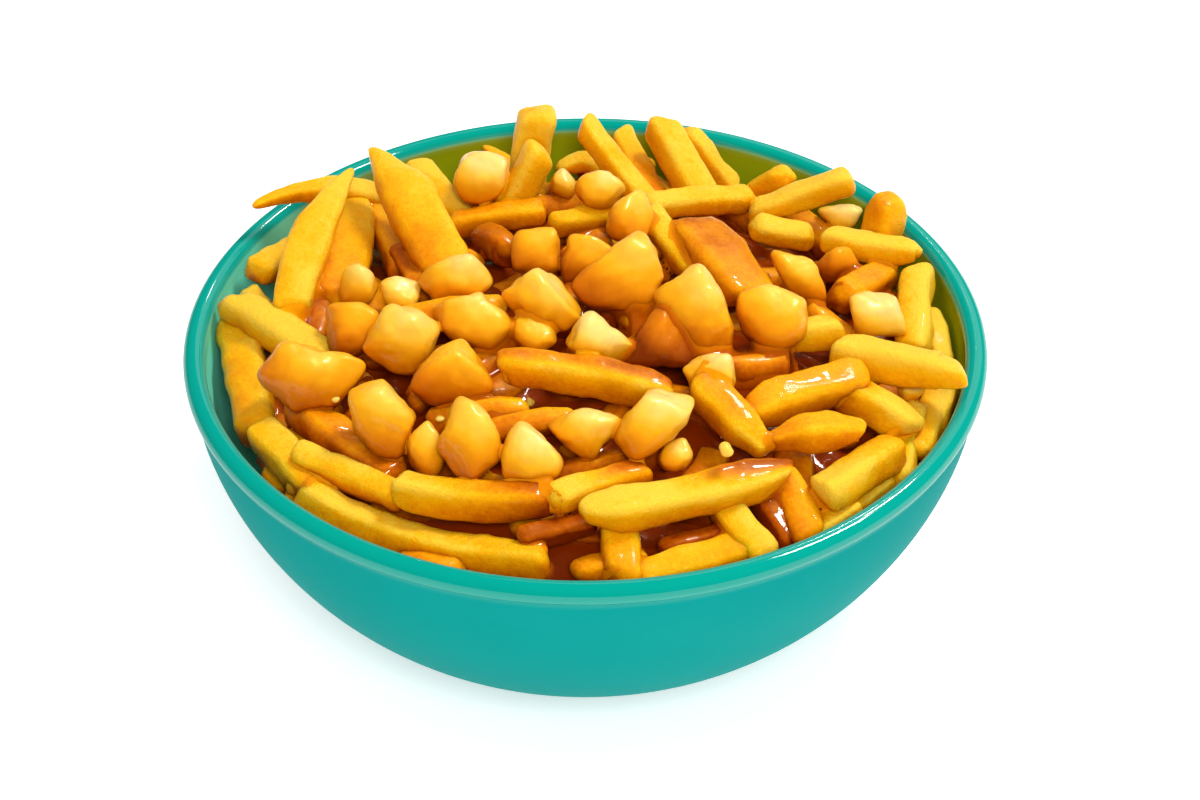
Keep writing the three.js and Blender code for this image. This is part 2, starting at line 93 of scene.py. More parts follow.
def fry(start, end, wide, thick=None, bend=0.0, tips=(0.8, 0.8), taper=(2, 2),
        sauce=(0.2, 0.2), crest=(0.0, 0.0), roll=None, lean=0.0):
    """A fry that shows, from one pixel and lift in millimetres to another. sauce is how much
    gravy coats it at each end, and crest is how much more lies along its upper side. Some
    sauce levels are set low only to make fries that lie in shade show brighter: painted light.
    lean moves the narrow start toward one edge: 1 is the left of its run, -1 the right."""
    return {
        "start": start, "end": end, "wide": wide, "thick": thick or min(wide, 9.5),
        "bend": bend, "tips": tips, "taper": taper, "sauce": sauce, "crest": crest, "roll": roll,
        "lean": lean,
    }


fries_at_left = [
    fry((343, 164, 20), (290, 323, 2), 9.8, bend=-1.2, tips=(0.12, 0.7), taper=(20, 3), sauce=(0.1, 0.25),
        lean=0.7),
    fry((255, 206, 17), (398, 206, 1), 7.6, bend=4, tips=(0.2, 0.8), taper=(20, 2), sauce=(0.35, 0.0)),
    fry((354, 206, 5), (336, 308, -1), 12.5, tips=(0.6, 0.9), taper=(6, 2), sauce=(0.25, 0.45)),
    fry((374, 200, 3), (404, 272, -3), 8, sauce=(0.3, 0.5)),
    fry((384, 142, 22), (454, 282, -2), 14, thick=9.5, tips=(0.15, 0.9), taper=(17, 2), sauce=(0.1, 0.45),
        lean=-0.6),
    fry((418, 164, 9), (465, 220, -4), 7.5, sauce=(0.1, 0.2)),
    fry((233, 302, 6), (326, 362, -1), 10.2, sauce=(0, 0)),
    fry((237, 322, -1), (258, 436, -3), 10, sauce=(0.2, 0.4)),
    fry((248, 290, 1), (296, 342, -4), 6.5, sauce=(0, 0)),
    fry((256, 272, 5), (326, 238, -2), 9, sauce=(0.2, 0.05)),
    fry((324, 290, 0), (309, 350, -2), 7.5, sauce=(0.5, 1.0)),
    fry((296, 404, 0), (398, 482, -2), 9.7, sauce=(0.5, 0.7)),
    fry((402, 250, 0), (430, 300, -3), 7, sauce=(0.8, 0.6)),
]

fries_at_back = [
    fry((539, 110, 22), (527, 204, -6), 9.5, sauce=(-0.1, -0.05)),
    fry((543, 148, 14), (505, 212, -3), 9, sauce=(0, -0.1)),
    fry((485, 146, 7), (530, 184, -2), 4.6, tips=(0.3, 0.9), taper=(6, 2), sauce=(0.3, 0.3)),
    fry((563, 172, -2), (603, 177, -3), 6, bend=3, sauce=(0.1, 0.3)),
    fry((584, 122, 16), (658, 218, -4), 7.3, sauce=(0.15, 0.15)),
    fry((620, 136, 8), (658, 208, -4), 8.2, sauce=(0.15, 0.8)),
    fry((661, 126, 14), (710, 216, -4), 10.4, sauce=(0.15, 0.15)),
    fry((688, 132, 12), (735, 192, -3), 6.4, sauce=(0.05, 0.05)),
    fry((645, 209, 2), (752, 200, 1), 7.8, bend=1, sauce=(0.15, 0.2)),
    fry((748, 197, -4), (788, 176, 7), 6.4, sauce=(0.1, 0.1)),
    fry((750, 214, -1), (853, 180, 15), 7.8, sauce=(0.05, 0.05)),
    fry((450, 226, -2), (545, 210, 0), 7.5, sauce=(0.4, 0.3), crest=(0.2, 0.2)),
    fry((552, 225, -1), (624, 211, -1), 7.6, sauce=(0.3, 0.35)),
]

fries_at_right = [
    fry((892, 198, 17), (874, 270, -3), 10.6, tips=(0.7, 0.9), taper=(4, 2), sauce=(0.2, 0.2)),
    fry((825, 239, 3), (919, 255, 9), 7.8, tips=(0.9, 0.5), taper=(2, 5), sauce=(0.05, 0.05)),
    fry((753, 227, -0.5), (814, 238, -0.5), 7.8, sauce=(0.0, 0.15)),
    fry((838, 300, -2), (893, 271, 1), 9, sauce=(0.5, 0.5)),
    fry((918, 274, 5), (912, 352, -1), 9, sauce=(0.1, 0.15)),
    fry((927, 314, -2), (942, 366, -4), 6.4, sauce=(0.05, 0.05)),
    fry((690, 224, 4), (752, 300, 0), 14, thick=9.5, tips=(0.75, 0.85), taper=(4, 4),
        sauce=(0.38, 0.45), crest=(0.3, 0.1)),
    fry((649, 214, 5), (700, 274, -1), 7.6, sauce=(0.15, 0.15)),
    fry((780, 336, -1), (842, 333, 0), 8.6, sauce=(0.15, 0.15)),
    fry((836, 354, 2), (966, 377, 14), 9.4, tips=(0.85, 0.6), taper=(2, 8), sauce=(0.05, 0.0)),
    fry((748, 415, 1), (864, 379, 4), 10.4, bend=1, tips=(0.7, 0.7), taper=(6, 4),
        sauce=(0.35, 0.35), crest=(0.1, 0.1)),
    fry((768, 444, 2), (863, 434, 5), 9.8, bend=1.5, tips=(0.4, 0.45), taper=(9, 8), sauce=(0.5, 0.25)),
    fry((838, 394, 0), (908, 434, 1), 9.8, bend=1.5, sauce=(0.35, 0.0)),
    fry((822, 498, 4), (898, 450, -1), 9.6, tips=(0.85, 0.8), taper=(1, 3), sauce=(0.0, 0.45)),
    fry((917, 410, -1), (897, 488, -4), 7, sauce=(0.05, 0.1)),
    fry((948, 380, 0), (916, 458, -3), 8.4, sauce=(0.15, 0.25)),
]

fries_at_front = [
    fry((798, 550, -4), (858, 506, 0), 6.5, sauce=(0.1, 0.1)),
    fry((850, 512, -4), (892, 477, -4), 5.5, sauce=(0.15, 0.15)),
    fry((778, 474, -2), (811, 543, -2), 7.8, sauce=(0.4, 0.5)),
    fry((718, 498, -1), (767, 561, -2), 8.2, sauce=(0.1, 0.15)),
    fry((582, 513, 6), (792, 470, 4), 10.2, bend=-1.5, tips=(0.45, 0.4), taper=(8, 9),
        sauce=(0.1, 0.1), crest=(0.0, 0.85)),
    fry((618, 507, -1), (622, 583, -1), 8.4, sauce=(0.15, 0.5)),
    fry((634, 579, -4), (750, 548, -3), 8.6, sauce=(0.3, 0.3)),
    fry((574, 577, -4), (644, 560, -5), 7.5, sauce=(0.6, 0.3)),
    fry((750, 480, -3), (793, 546, -4), 7, sauce=(0.9, 0.9)),
    fry((300, 490, 0), (548, 562, -3), 8.4, bend=-3.5, sauce=(0.1, 0.3)),
    fry((260, 430, 1), (314, 490, -2), 9.6, sauce=(0.2, 0.2)),
    fry((296, 454, 2), (406, 499, -1), 7.6, sauce=(0.1, 0.3)),
    fry((286, 482, -2), (336, 488, -4), 6, sauce=(0.1, 0.4)),
    fry((395, 486, 3), (552, 496, 2), 9, bend=-2.5, sauce=(0, 0.6), crest=(0.1, 0.3)),
    fry((548, 500, 3), (648, 472, -1), 7.6, sauce=(0.1, 0.5), crest=(0.0, 0.5)),
    fry((518, 540, -1), (596, 523, -3), 5.8, sauce=(0.9, 0.9)),
    fry((660, 550, -4), (730, 531, -4), 5.4, sauce=(0.9, 0.9)),
    fry((500, 366, 3), (670, 394, 1), 10, thick=11, bend=1.2, tips=(0.7, 0.6), taper=(4, 8),
        sauce=(0.2, 0.2), crest=(0.45, 0.65)),
    fry((698, 382, 4), (766, 452, 1), 10, tips=(0.8, 0.4), taper=(3, 8), sauce=(0.35, 0.1), crest=(0.3, 0.2)),
]

fries = [*fries_at_left, *fries_at_back, *fries_at_right, *fries_at_front]


def curd(at, raised, corners, waist, deep, sauce=0.3):
    """A curd round a pixel: corners are angles in the picture and reaches in millimetres."""
    return {"at": at, "raise": raised, "corners": corners, "waist": waist, "deep": deep, "sauce": sauce}


curds_at_back = [
    curd((482, 178), 4, [(150, 7), (30, 7.4), (-90, 6.5)], 6, 12, sauce=0.15),
    curd((564, 186), 0, [(90, 4), (-60, 4)], 3, 7, sauce=0.25),
    curd((600, 190), 3, [(170, 7), (60, 5.6), (0, 6.6)], 5, 10, sauce=0.25),
    curd((842, 218), 0.5, [(160, 5.6), (20, 5.6)], 3.6, 9, sauce=0.1),
    curd((632, 222), 3.6, [(75, 8), (200, 5.6), (-70, 7.6)], 5, 10, sauce=0.4),
    curd((535, 252), 0, [(143, 7), (45, 7), (-35, 8), (218, 7)], 5, 11, sauce=0.45),
    curd((585, 260), 0, [(120, 6.5), (20, 7), (230, 6.5)], 5, 10, sauce=0.45),
]

curds_at_right = [
    curd((876, 317), 1, [(138, 8), (43, 5.8), (-31, 8), (-129, 6.3)], 4.6, 10, sauce=0.1),
    curd((838, 267), 0, [(180, 5.6), (0, 5.6)], 4, 8, sauce=0.6),
    curd((622, 280), 1, [(187, 12), (69, 12.4), (-5, 10), (-57, 9.8), (217, 10)], 6.6, 13, sauce=0.4),
    curd((700, 315), 3, [(91, 11.4), (157, 10), (266, 9.4), (-44, 10.2)], 6.4, 13, sauce=0.3),
    curd((658, 343), 0, [(83, 8.4), (-29, 9.2), (214, 9.2)], 5.4, 11, sauce=0.8),
    curd((597, 344), 1, [(99, 7.6), (-9, 9), (176, 8.3), (-55, 6)], 4.8, 11, sauce=0.1),
    curd((771, 319), 2, [(141, 8.9), (27, 8.6), (244, 8.1), (-30, 8)], 7, 13, sauce=0.35),
    curd((800, 279), 1, [(136, 8.4), (-44, 9.2)], 4.2, 10, sauce=0.35),
    curd((712, 378), 1, [(160, 6.6), (50, 6.4), (-50, 6)], 5, 11, sauce=0.2),
    curd((909, 393), 1.5, [(145, 3.9), (10, 3.6), (-90, 3.2)], 2.4, 5, sauce=0.1),
]

curds_at_left = [
    curd((359, 284), 3, [(90, 5.2), (-60, 5.2), (230, 5)], 4.6, 10, sauce=0.25),
    curd((401, 293), 0.3, [(150, 5.4), (20, 5.4), (-60, 4.6)], 4, 9, sauce=0.15),
    curd((457, 281), 0.2, [(64, 7), (-3, 8.6), (226, 8), (178, 9)], 5.2, 12, sauce=0.25),
    curd((471, 320), 0.6, [(167, 10), (70, 6.5), (-7, 9.7), (-46, 8.6)], 5.4, 12, sauce=0.3),
    curd((352, 329), 1, [(135, 7.6), (35, 7), (-40, 7), (-137, 8)], 5.6, 11, sauce=0.5),
    curd((403, 340), 0, [(197, 10.2), (109, 8.4), (25, 9), (-77, 8.2)], 6.8, 13, sauce=0.25),
    curd((544, 300), 1.6, [(104, 7.4), (-18, 9.6), (-54, 9), (174, 9.4)], 5.8, 12, sauce=0.25),
    curd((533, 334), -1, [(130, 5.4), (-20, 5.6)], 4.4, 9, sauce=0.3),
    curd((452, 374), 0.2, [(70, 8.6), (-20, 9.3), (199, 9.6), (250, 7)], 6.8, 13, sauce=0.45),
    curd((312, 375), 3, [(179, 11.4), (129, 9.4), (11, 12.8), (240, 8.2), (-58, 8)], 6.6, 13, sauce=0.4),
    curd((382, 419), 3, [(90, 8.8), (142, 9), (5, 7), (-79, 11.4)], 6, 12, sauce=0.35),
]

curds_at_front = [
    curd((427, 450), 0, [(90, 6.4), (-90, 7)], 4.4, 10, sauce=0.35),
    curd((468, 440), 2.6, [(100, 9.5), (55, 8), (-25, 7.8), (-92, 10.2)], 6, 12, sauce=0.35),
    curd((527, 457), 2, [(100, 8.6), (-5, 7.6), (-44, 7.4), (232, 8.2)], 5.4, 12, sauce=0.2),
    curd((583, 434), 0, [(164, 8), (23, 8.6), (-72, 5.8)], 4.8, 11, sauce=0.25),
    curd((654, 421), 3.6, [(203, 9.4), (245, 9.6), (74, 8.8), (26, 10)], 5.2, 12, sauce=0.2),
    curd((675, 457), -0.4, [(60, 4.4), (-100, 3.8)], 3.4, 7, sauce=0.3),
]

curds = [*curds_at_back, *curds_at_right, *curds_at_left, *curds_at_front]


# Curves of the bowl and the mound

def wall_curve(share, low, high, inner, outer):
    """A point (radius, height) of a wall at a share of its height."""
    angle = share * math.pi / 2
    across = math.sin(angle) ** (2 / roundness)
    up = 1 - max(0.0, math.cos(angle)) ** (2 / roundness)
    return inner + (outer - inner) * across, low + (high - low) * up


def hollow_radius(z):
    """Radius of the bowl's hollow at a height."""
    top = bowl_height - lip_radius
    if z >= top:
        return inner_radius
    share = max(0.0, (z - floor_top) / (top - floor_top))
    cosine = (1 - share) ** (roundness / 2)
    across = math.sqrt(max(0.0, 1 - cosine * cosine)) ** (2 / roundness)
    return floor_radius + (inner_radius - floor_radius) * across


def mound_height(radius):
    """Height of the top layer's middle at a distance from the bowl's axis."""
    return bowl_height + mound_crown - mound_drop * (radius / mound_radius) ** 2


def placed(x, y, lift):
    """The point in millimetres that a pixel shows, at a lift above the mound."""
    ray = -toward_eye
    ray = ray + toward_right * ((x - view_middle[0]) / view_focal)
    ray = ray + toward_top * ((view_middle[1] - y) / view_focal)
    point = rim_middle
    for _ in range(sight_rounds):
        height = mound_height(math.hypot(point[0], point[1])) + lift
        point = eye + ray * ((height - eye[2]) / ray[2])
    return point


def keep_in_hollow(point, half):
    """Moves a point on a piece's middle line in from the wall, unless it is over the rim."""
    if point[2] - half > bowl_height:
        return point
    radius = math.hypot(point[0], point[1])
    limit = hollow_radius(min(point[2], bowl_height - lip_radius)) - half - gap
    if radius <= limit:
        return point
    return np.array([point[0] * limit / radius, point[1] * limit / radius, point[2]])


# Helpers for making meshes

def unit(vectors):
    return vectors / np.linalg.norm(vectors, axis=-1, keepdims=True)


def smoothstep(values, low, high):
    t = np.clip((values - low) / (high - low), 0, 1)
    return t * t * (3 - 2 * t)


class Ripple:
    """Smooth noise from -1 to 1 or so: waves in many directions, near one length."""

    def __init__(self, seed, length, waves=14):
        draw = np.random.RandomState(seed)
        directions = unit(draw.normal(size=(waves, 3)))
        lengths = length * draw.uniform(0.7, 1.6, size=(waves, 1))
        self.turns = directions * 2 * math.pi / lengths
        self.starts = draw.uniform(0, 2 * math.pi, size=waves)

    def at(self, points):
        waves = np.sin(points @ self.turns.T + self.starts)
        return waves.sum(axis=1) * math.sqrt(2 / len(self.starts)) * 0.7


def make_piece(name, points, quads, triangles=(), material=None, fields=None):
    """A smooth mesh piece from points in millimetres, with one number a point in each field."""
    mesh = bpy.data.meshes.new(name)
    quads = np.asarray(quads, int).reshape(-1, 4)
    triangles = np.asarray(triangles, int).reshape(-1, 3)
    mesh.vertices.add(len(points))
    mesh.vertices.foreach_set("co", (np.asarray(points) * MM).astype(np.float32).ravel())
    mesh.loops.add(quads.size + triangles.size)
    mesh.loops.foreach_set("vertex_index", np.concatenate([quads.ravel(), triangles.ravel()]))
    starts = np.concatenate([
        np.arange(len(quads)) * 4,
        quads.size + np.arange(len(triangles)) * 3,
    ])
    mesh.polygons.add(len(starts))
    mesh.polygons.foreach_set("loop_start", starts)
    mesh.update(calc_edges=True)
    mesh.validate()
    mesh.shade_smooth()
    for field, values in (fields or {}).items():
        attribute = mesh.attributes.new(field, "FLOAT", "POINT")
        attribute.data.foreach_set("value", np.asarray(values, np.float32))
    piece = bpy.data.objects.new(name, mesh)
    bpy.context.scene.collection.objects.link(piece)
    if material:
        mesh.materials.append(material)
    return piece


def tube_quads(rings, around, first=0):
    """Quads between rings of points that follow each other."""
    ring, step = np.meshgrid(np.arange(rings - 1), np.arange(around), indexing="ij")
    after = (step + 1) % around
    low = first + ring * around
    high = low + around
    return np.stack([low + step, low + after, high + after, high + step], axis=-1).reshape(-1, 4)


def turned(profile, sides):
    """Points and faces of a closed profile (radius, height) turned round the axis."""
    profile = np.array(profile)
    angles = np.arange(sides) * 2 * math.pi / sides
    rings = profile[1:-1]
    points = np.stack([
        rings[:, :1] * np.cos(angles),
        rings[:, :1] * np.sin(angles),
        np.repeat(rings[:, 1:], sides, axis=1),
    ], axis=-1).reshape(-1, 3)
    points = np.vstack([points, [0, 0, profile[0][1]], [0, 0, profile[-1][1]]])
    quads = tube_quads(len(rings), sides)
    step = np.arange(sides)
    after = (step + 1) % sides
    start, end = len(points) - 2, len(points) - 1
    last = (len(rings) - 1) * sides
    low = np.stack([np.full(sides, start), after, step], axis=-1)
    high = np.stack([np.full(sides, end), last + step, last + after], axis=-1)
    return points, quads, np.vstack([low, high])


# Shapes

def bowl_profile():
    """The bowl from the middle of its underside, round the lip, to the middle of its floor."""
    wall_steps = 48
    lip_steps = 20
    corner = 0.8
    profile = [(0, foot_depth), (foot_radius - foot_width - corner, foot_depth)]
    profile.append((foot_radius - foot_width, foot_depth - corner))
    profile.append((foot_radius - foot_width + 0.2, 0.25))
    profile.append((foot_radius - foot_width + corner, 0))
    profile.append((foot_radius - corner, 0))
    wall_top = bowl_height - 2 * lip_radius
    for i in range(1, wall_steps + 1):
        profile.append(wall_curve(i / wall_steps, 0, wall_top, foot_radius, body_radius))
    middle = (bowl_radius - lip_radius, bowl_height - lip_radius)
    for i in range(lip_steps + 1):
        angle = math.radians(-50 + 230 * i / lip_steps)
        profile.append((middle[0] + lip_radius * math.cos(angle), middle[1] + lip_radius * math.sin(angle)))
    for i in range(wall_steps - 1, -1, -1):
        profile.append(wall_curve(i / wall_steps, floor_top, bowl_height - lip_radius, floor_radius, inner_radius))
    profile.append((0, floor_top))
    return profile


class Fry:
    """One fry: a bent bar of rounded square section. It gives its points, and the distance to it."""

    def __init__(self, row, seed, spacing=1.6):
        draw = np.random.RandomState(seed)
        if "points" in row:
            self.start, end = row["points"]
        else:
            self.start, end = placed(*row["start"]), placed(*row["end"])
        self.row, self.seed = row, seed
        self.length = np.linalg.norm(end - self.start)
        self.along = (end - self.start) / self.length
        self.squareness = draw.uniform(3.2, 4.8)

        rounding = min(1.7, 0.26 * row["wide"])
        cap_angles = np.radians([0, 22, 45, 68, 90])
        cap_places = rounding * (1 - np.cos(cap_angles))
        cap_insets = rounding * (1 - np.sin(cap_angles))
        count = max(3, int(round((self.length - 2 * rounding) / spacing)))
        straight = np.linspace(rounding, self.length - rounding, count + 1)[1:-1]
        self.places = np.concatenate([cap_places, straight, self.length - cap_places[::-1]])
        insets = np.concatenate([cap_insets, np.zeros(len(straight)), cap_insets[::-1]])
        self.rounded = 1 - insets * 2 / min(row["wide"], row["thick"])
        u = self.places / self.length

        arch = (4 * u * (1 - u))[:, None]
        across = unit(np.cross(toward_eye, self.along))
        bow = row["bend"] + draw.uniform(-0.4, 0.4)
        sag = draw.uniform(-0.8, 0.8)
        middles = self.start + (end - self.start) * u[:, None] + across * bow * arch + toward_eye * sag * arch
        self.middles = np.array([keep_in_hollow(m, row["wide"] / 2) for m in middles])
        tangents = unit(np.gradient(self.middles, self.places, axis=0))
        self.sides = unit(np.cross(tangents, toward_eye))
        self.fronts = np.cross(self.sides, tangents)
        self.tangents = tangents

        # It lies on one of its flat sides, or nearly
        level = unit(np.cross(self.along, [0, 0, 1]))
        lie = math.atan2(level @ self.fronts.mean(axis=0), level @ self.sides.mean(axis=0))
        lie += math.radians(draw.uniform(-16, 16)) if row["roll"] is None else math.radians(row["roll"])
        self.turn = lie + math.radians(draw.uniform(-10, 10)) * (u - 0.5)

        # The section is sized so that it shows the stated width
        half_wide, half_thick = row["wide"] / 2, row["thick"] / 2
        power = self.squareness / (self.squareness - 1)
        shown = abs(half_wide * math.cos(lie)) ** power + abs(half_thick * math.sin(lie)) ** power
        fit = half_wide / shown ** (1 / power)
        tips, taper = row["tips"], row["taper"]
        near_start = np.clip(self.places / taper[0], 0, 1) ** 0.85
        near_end = np.clip((self.length - self.places) / taper[1], 0, 1) ** 0.85
        shares = np.minimum(tips[0] + (1 - tips[0]) * near_start, tips[1] + (1 - tips[1]) * near_end)
        waves = Ripple(seed + 500, 24)
        along_only = np.stack([self.places, self.places * 0, self.places * 0], axis=-1)
        self.half_wide = half_wide * fit * shares * (1 + 0.06 * waves.at(along_only))
        self.half_thick = half_thick * fit * shares * (1 + 0.08 * waves.at(along_only[:, ::-1] + 9))
        self.slants = draw.uniform(-0.45, 0.45, size=(2, 2))
        starting = shares[self.places < self.length / 2]
        aside = np.zeros(len(u))
        aside[:len(starting)] = row["lean"] * half_wide * (1 - starting)
        self.middles = self.middles - self.sides * aside[:, None]

    def shape(self, around=28):
        """Points, quads, triangles and sauce."""
        angles = np.arange(around) * 2 * math.pi / around
        power = self.squareness
        polar = (np.abs(np.cos(angles)) ** power + np.abs(np.sin(angles)) ** power) ** (-1 / power)
        x = polar * np.cos(angles) * (self.half_wide * self.rounded)[:, None]
        y = polar * np.sin(angles) * (self.half_thick * self.rounded)[:, None]
        side = x * np.cos(self.turn)[:, None] - y * np.sin(self.turn)[:, None]
        front = x * np.sin(self.turn)[:, None] + y * np.cos(self.turn)[:, None]
        ahead = self.ahead(self.places[:, None], x, y)
        rings = self.middles[:, None] + self.sides[:, None] * side[..., None]
        rings = rings + self.tangents[:, None] * ahead[..., None]
        rings = rings + self.fronts[:, None] * front[..., None]
        points, quads, triangles = self.closed(rings, around)

        run = (points - self.start) @ self.along
        spine = np.stack([np.interp(run, self.places, self.middles[:, k]) for k in range(3)], axis=-1)
        outward = points - spine
        outward = outward / np.maximum(np.linalg.norm(outward, axis=1, keepdims=True), 1.0)
        shifted_points = points + self.seed * 13.7
        # Painted highlight: the corners of the section are made paler (less sauce colour) below
        edges = smoothstep(np.abs(np.sin(2 * angles)), 0.7, 1.0)
        edges = np.append(np.tile(edges, len(rings)), np.zeros(len(points) - rings.size // 3))
        bumps = self.swells(points) + 0.11 * Ripple(self.seed + 901, 4).at(shifted_points)
        points = points + outward * bumps[:, None]

        row = self.row
        share = np.clip(run / self.length, 0, 1)
        sauce = row["sauce"][0] + (row["sauce"][1] - row["sauce"][0]) * share
        upper = outward @ unit(toward_top - self.along * (toward_top @ self.along))
        crest = row["crest"][0] + (row["crest"][1] - row["crest"][0]) * smoothstep(share, 0.3, 0.9)
        # Painted light: paler on faces turned toward the key light, more orange on faces turned away
        sauce = sauce + crest * smoothstep(upper, 0.1, 0.9) + 0.32 * (0.56 - outward @ painted_light_toward)
        sauce = sauce - 0.12 * edges
        return points, quads, triangles, sauce

    def ahead(self, run, x, y):
        """How far the slanted ends move a place of the section along the fry."""
        slanted = 7.0
        near_start = np.clip(1 - run / slanted, 0, 1)
        near_end = np.clip(1 - (self.length - run) / slanted, 0, 1)
        forward = near_start * (x * self.slants[0, 0] + y * self.slants[0, 1])
        return forward + near_end * (x * self.slants[1, 0] + y * self.slants[1, 1])

    def swells(self, points):
        """Low swellings of the surface near points."""
        return 0.26 * Ripple(self.seed + 900, 9).at(points + self.seed * 13.7)

    def closed(self, rings, around):
        """The rings as one surface, with rough cut ends a little crowned."""
        parts = [rings.reshape(-1, 3)]
        quads = [tube_quads(len(rings), around)]
        triangles = []
        total = rings.shape[0] * around
        step = np.arange(around)
        after = (step + 1) % around
        last = (len(rings) - 1) * around
        for ring, previous, outward, flip in (
            (rings[0], 0, -self.tangents[0], True),
            (rings[-1], last, self.tangents[-1], False),
        ):
            centre = ring.mean(axis=0)
            crown = 0.15 * np.linalg.norm(ring - centre, axis=1).mean()
            for share in (0.66, 0.33):
                parts.append(centre + (ring - centre) * share + outward * (1 - share ** 2) * crown)
                strip = [previous + step, previous + after, total + after, total + step]
                quads.append(np.stack(strip[::-1] if flip else strip, axis=-1))
                previous = total
                total += around
            parts.append(centre[None] + outward * crown)
            fan = [previous + step, previous + after, np.full(around, total)]
            triangles.append(np.stack(fan[::-1] if flip else fan, axis=-1))
            total += 1
        return np.vstack(parts), np.vstack(quads), np.vstack(triangles)

    def bounds(self):
        reach = max(self.half_wide.max(), self.half_thick.max()) * 1.3
        return self.middles.min(axis=0) - reach, self.middles.max(axis=0) + reach

    def distance(self, points):
        """About how far points are outside the fry."""
        run = (points - self.start) @ self.along

        def along_fry(values):
            return np.interp(run, self.places, values)

        middle = np.stack([along_fry(self.middles[:, k]) for k in range(3)], axis=-1)
        side = np.stack([along_fry(self.sides[:, k]) for k in range(3)], axis=-1)
        front = np.stack([along_fry(self.fronts[:, k]) for k in range(3)], axis=-1)
        turn = along_fry(self.turn)
        x0 = ((points - middle) * side).sum(axis=1)
        y0 = ((points - middle) * front).sum(axis=1)
        x = x0 * np.cos(turn) + y0 * np.sin(turn)
        y = -x0 * np.sin(turn) + y0 * np.cos(turn)
        reach = np.hypot(x, y)
        power = self.squareness
        wide, thick = along_fry(self.half_wide), along_fry(self.half_thick)
        share = ((np.abs(x) / wide) ** power + (np.abs(y) / thick) ** power) ** (1 / power)
        across = np.where(share > 0.2, reach * (1 - 1 / np.maximum(share, 0.2)), -wide * 0.8)
        across = across - self.swells(points)
        level = run - self.ahead(run, np.clip(x, -wide, wide), np.clip(y, -thick, thick))
        beyond = np.maximum(-level, level - self.length)
        outside = np.hypot(np.maximum(across, 0), np.maximum(beyond, 0))
        return np.where(outside > 0, outside, np.maximum(across, beyond))


def curd_lumps(number):
    """The low dents and swellings of a curd, each round a direction."""
    factor, modulus = 16807, 2147483647
    state = 1000 + 77 * number
    lumps = []
    for _ in range(5):
        draws = []
        for _ in range(4):
            state = (state * factor) % modulus
            draws.append(state / modulus)
        direction = unit(np.array(draws[:3]) - 0.5)
        lumps.append((direction, (draws[3] - 0.55) * 0.28))
    return lumps


def outline_reach(row, angle):
    """How far a curd's outline is from its middle: between corners it runs straight, a little drawn in."""
    lobes = np.full(len(angle), float(row["waist"]))
    weight = np.ones(len(angle))
    for corner, far in row["corners"]:
        near = 12 * np.exp(14 * (np.cos(angle - math.radians(corner)) - 1))
        lobes += near * far
        weight += near
    lobes /= weight
    spots = [(turn, row["waist"]) for turn in range(0, 360, 30)] + list(row["corners"])
    spots = [(far * math.cos(math.radians(t)), far * math.sin(math.radians(t))) for t, far in spots]
    ray_x, ray_y = np.cos(angle), np.sin(angle)
    straight = np.full(len(angle), float(row["waist"]))
    for px, py in spots:
        for qx, qy in spots:
            area = px * qy - py * qx
            if area <= 0:
                continue
            between = (px * ray_y - py * ray_x >= 0) & (ray_x * qy - ray_y * qx >= 0)
            facing = ray_x * (qy - py) - ray_y * (qx - px)
            edge = area / np.where(between, facing, 1)
            straight = np.where(between, np.maximum(straight, edge), straight)
    return lobes + (straight - lobes) * 0.8


def blunt_outline(row, angle):
    """The same reach with its corners worn round."""
    step = math.radians(2)
    total = 0
    for turns, share in ((-4, 0.08), (-3, 0.11), (-2, 0.13), (-1, 0.15), (0, 0.16), (1, 0.15), (2, 0.13), (3, 0.11),
                         (4, 0.08)):
        total = total + share / 1.1 * outline_reach(row, angle + turns * step)
    return total


def curd_middle(row):
    """A curd's middle, over the core or the fries that carry it."""
    sits = math.hypot(row["deep"] / 2 * math.sin(view_tilt), row["waist"] * math.cos(view_tilt))
    return keep_in_hollow(placed(*row["at"], row["raise"] + sits - core_depth), row["waist"])


def curd_shape(row, number, directions):
    """Points of one curd, from the directions of a fine sphere."""
    half = row["deep"] / 2
    middle = curd_middle(row)
    swell = np.ones(len(directions))
    for direction, height in curd_lumps(number):
        swell += height * np.exp(5 * (directions @ direction - 1))
    angle = np.arctan2(directions[:, 1], directions[:, 0])
    reach = blunt_outline(row, angle) * swell
    outward = np.hypot(directions[:, 0], directions[:, 1]) ** 0.8
    facing = np.sign(directions[:, 2]) * np.abs(directions[:, 2]) ** 0.8 * half * swell
    points = toward_right * (np.cos(angle) * outward * reach)[:, None]
    points = points + toward_top * (np.sin(angle) * outward * reach)[:, None]
    points = points + toward_eye * facing[:, None]

    # Broken faces, each flat with soft edges
    draw = np.random.RandomState(5000 + number)
    softness = 0.5
    for _ in range(5):
        face = unit(draw.normal(size=3) * 0.6 + toward_eye)
        along = points @ face
        over = along - along.max() * draw.uniform(0.76, 0.95)
        points = points - face * (softness * np.log1p(np.exp(over / softness)))[:, None]
    bumps = 0.32 * Ripple(3000 + number, 8).at(points) + 0.18 * Ripple(4000 + number, 4.5).at(points)
    bumps += 0.06 * Ripple(6000 + number, 2).at(points)
    return middle + points * 1.09 + unit(points) * bumps[:, None], middle


# Crumbs of curd that lie on the food, and at (440, 418) a pale bit that is a painted highlight for white glints on
# a curd: the pixel of each, and its half width
crumbs = [((335, 398), 1.1), ((530, 402), 1.2), ((440, 418), 1.0), ((726, 450), 1.8)]
crumb_flatness = 0.7
crumb_reach = (12, -8)  # lifts above the mound between which a crumb's place is looked for
crumb_steps = 200


def seen_place(field, x, y):
    """The place on the food that a pixel shows."""
    above, below = placed(x, y, crumb_reach[0]), placed(x, y, crumb_reach[1])
    places = above + (below - above) * np.linspace(0, 1, crumb_steps)[:, None]
    filled = field.at(np.minimum(field.close, field.gravy), places) < 0
    return places[filled.argmax()]


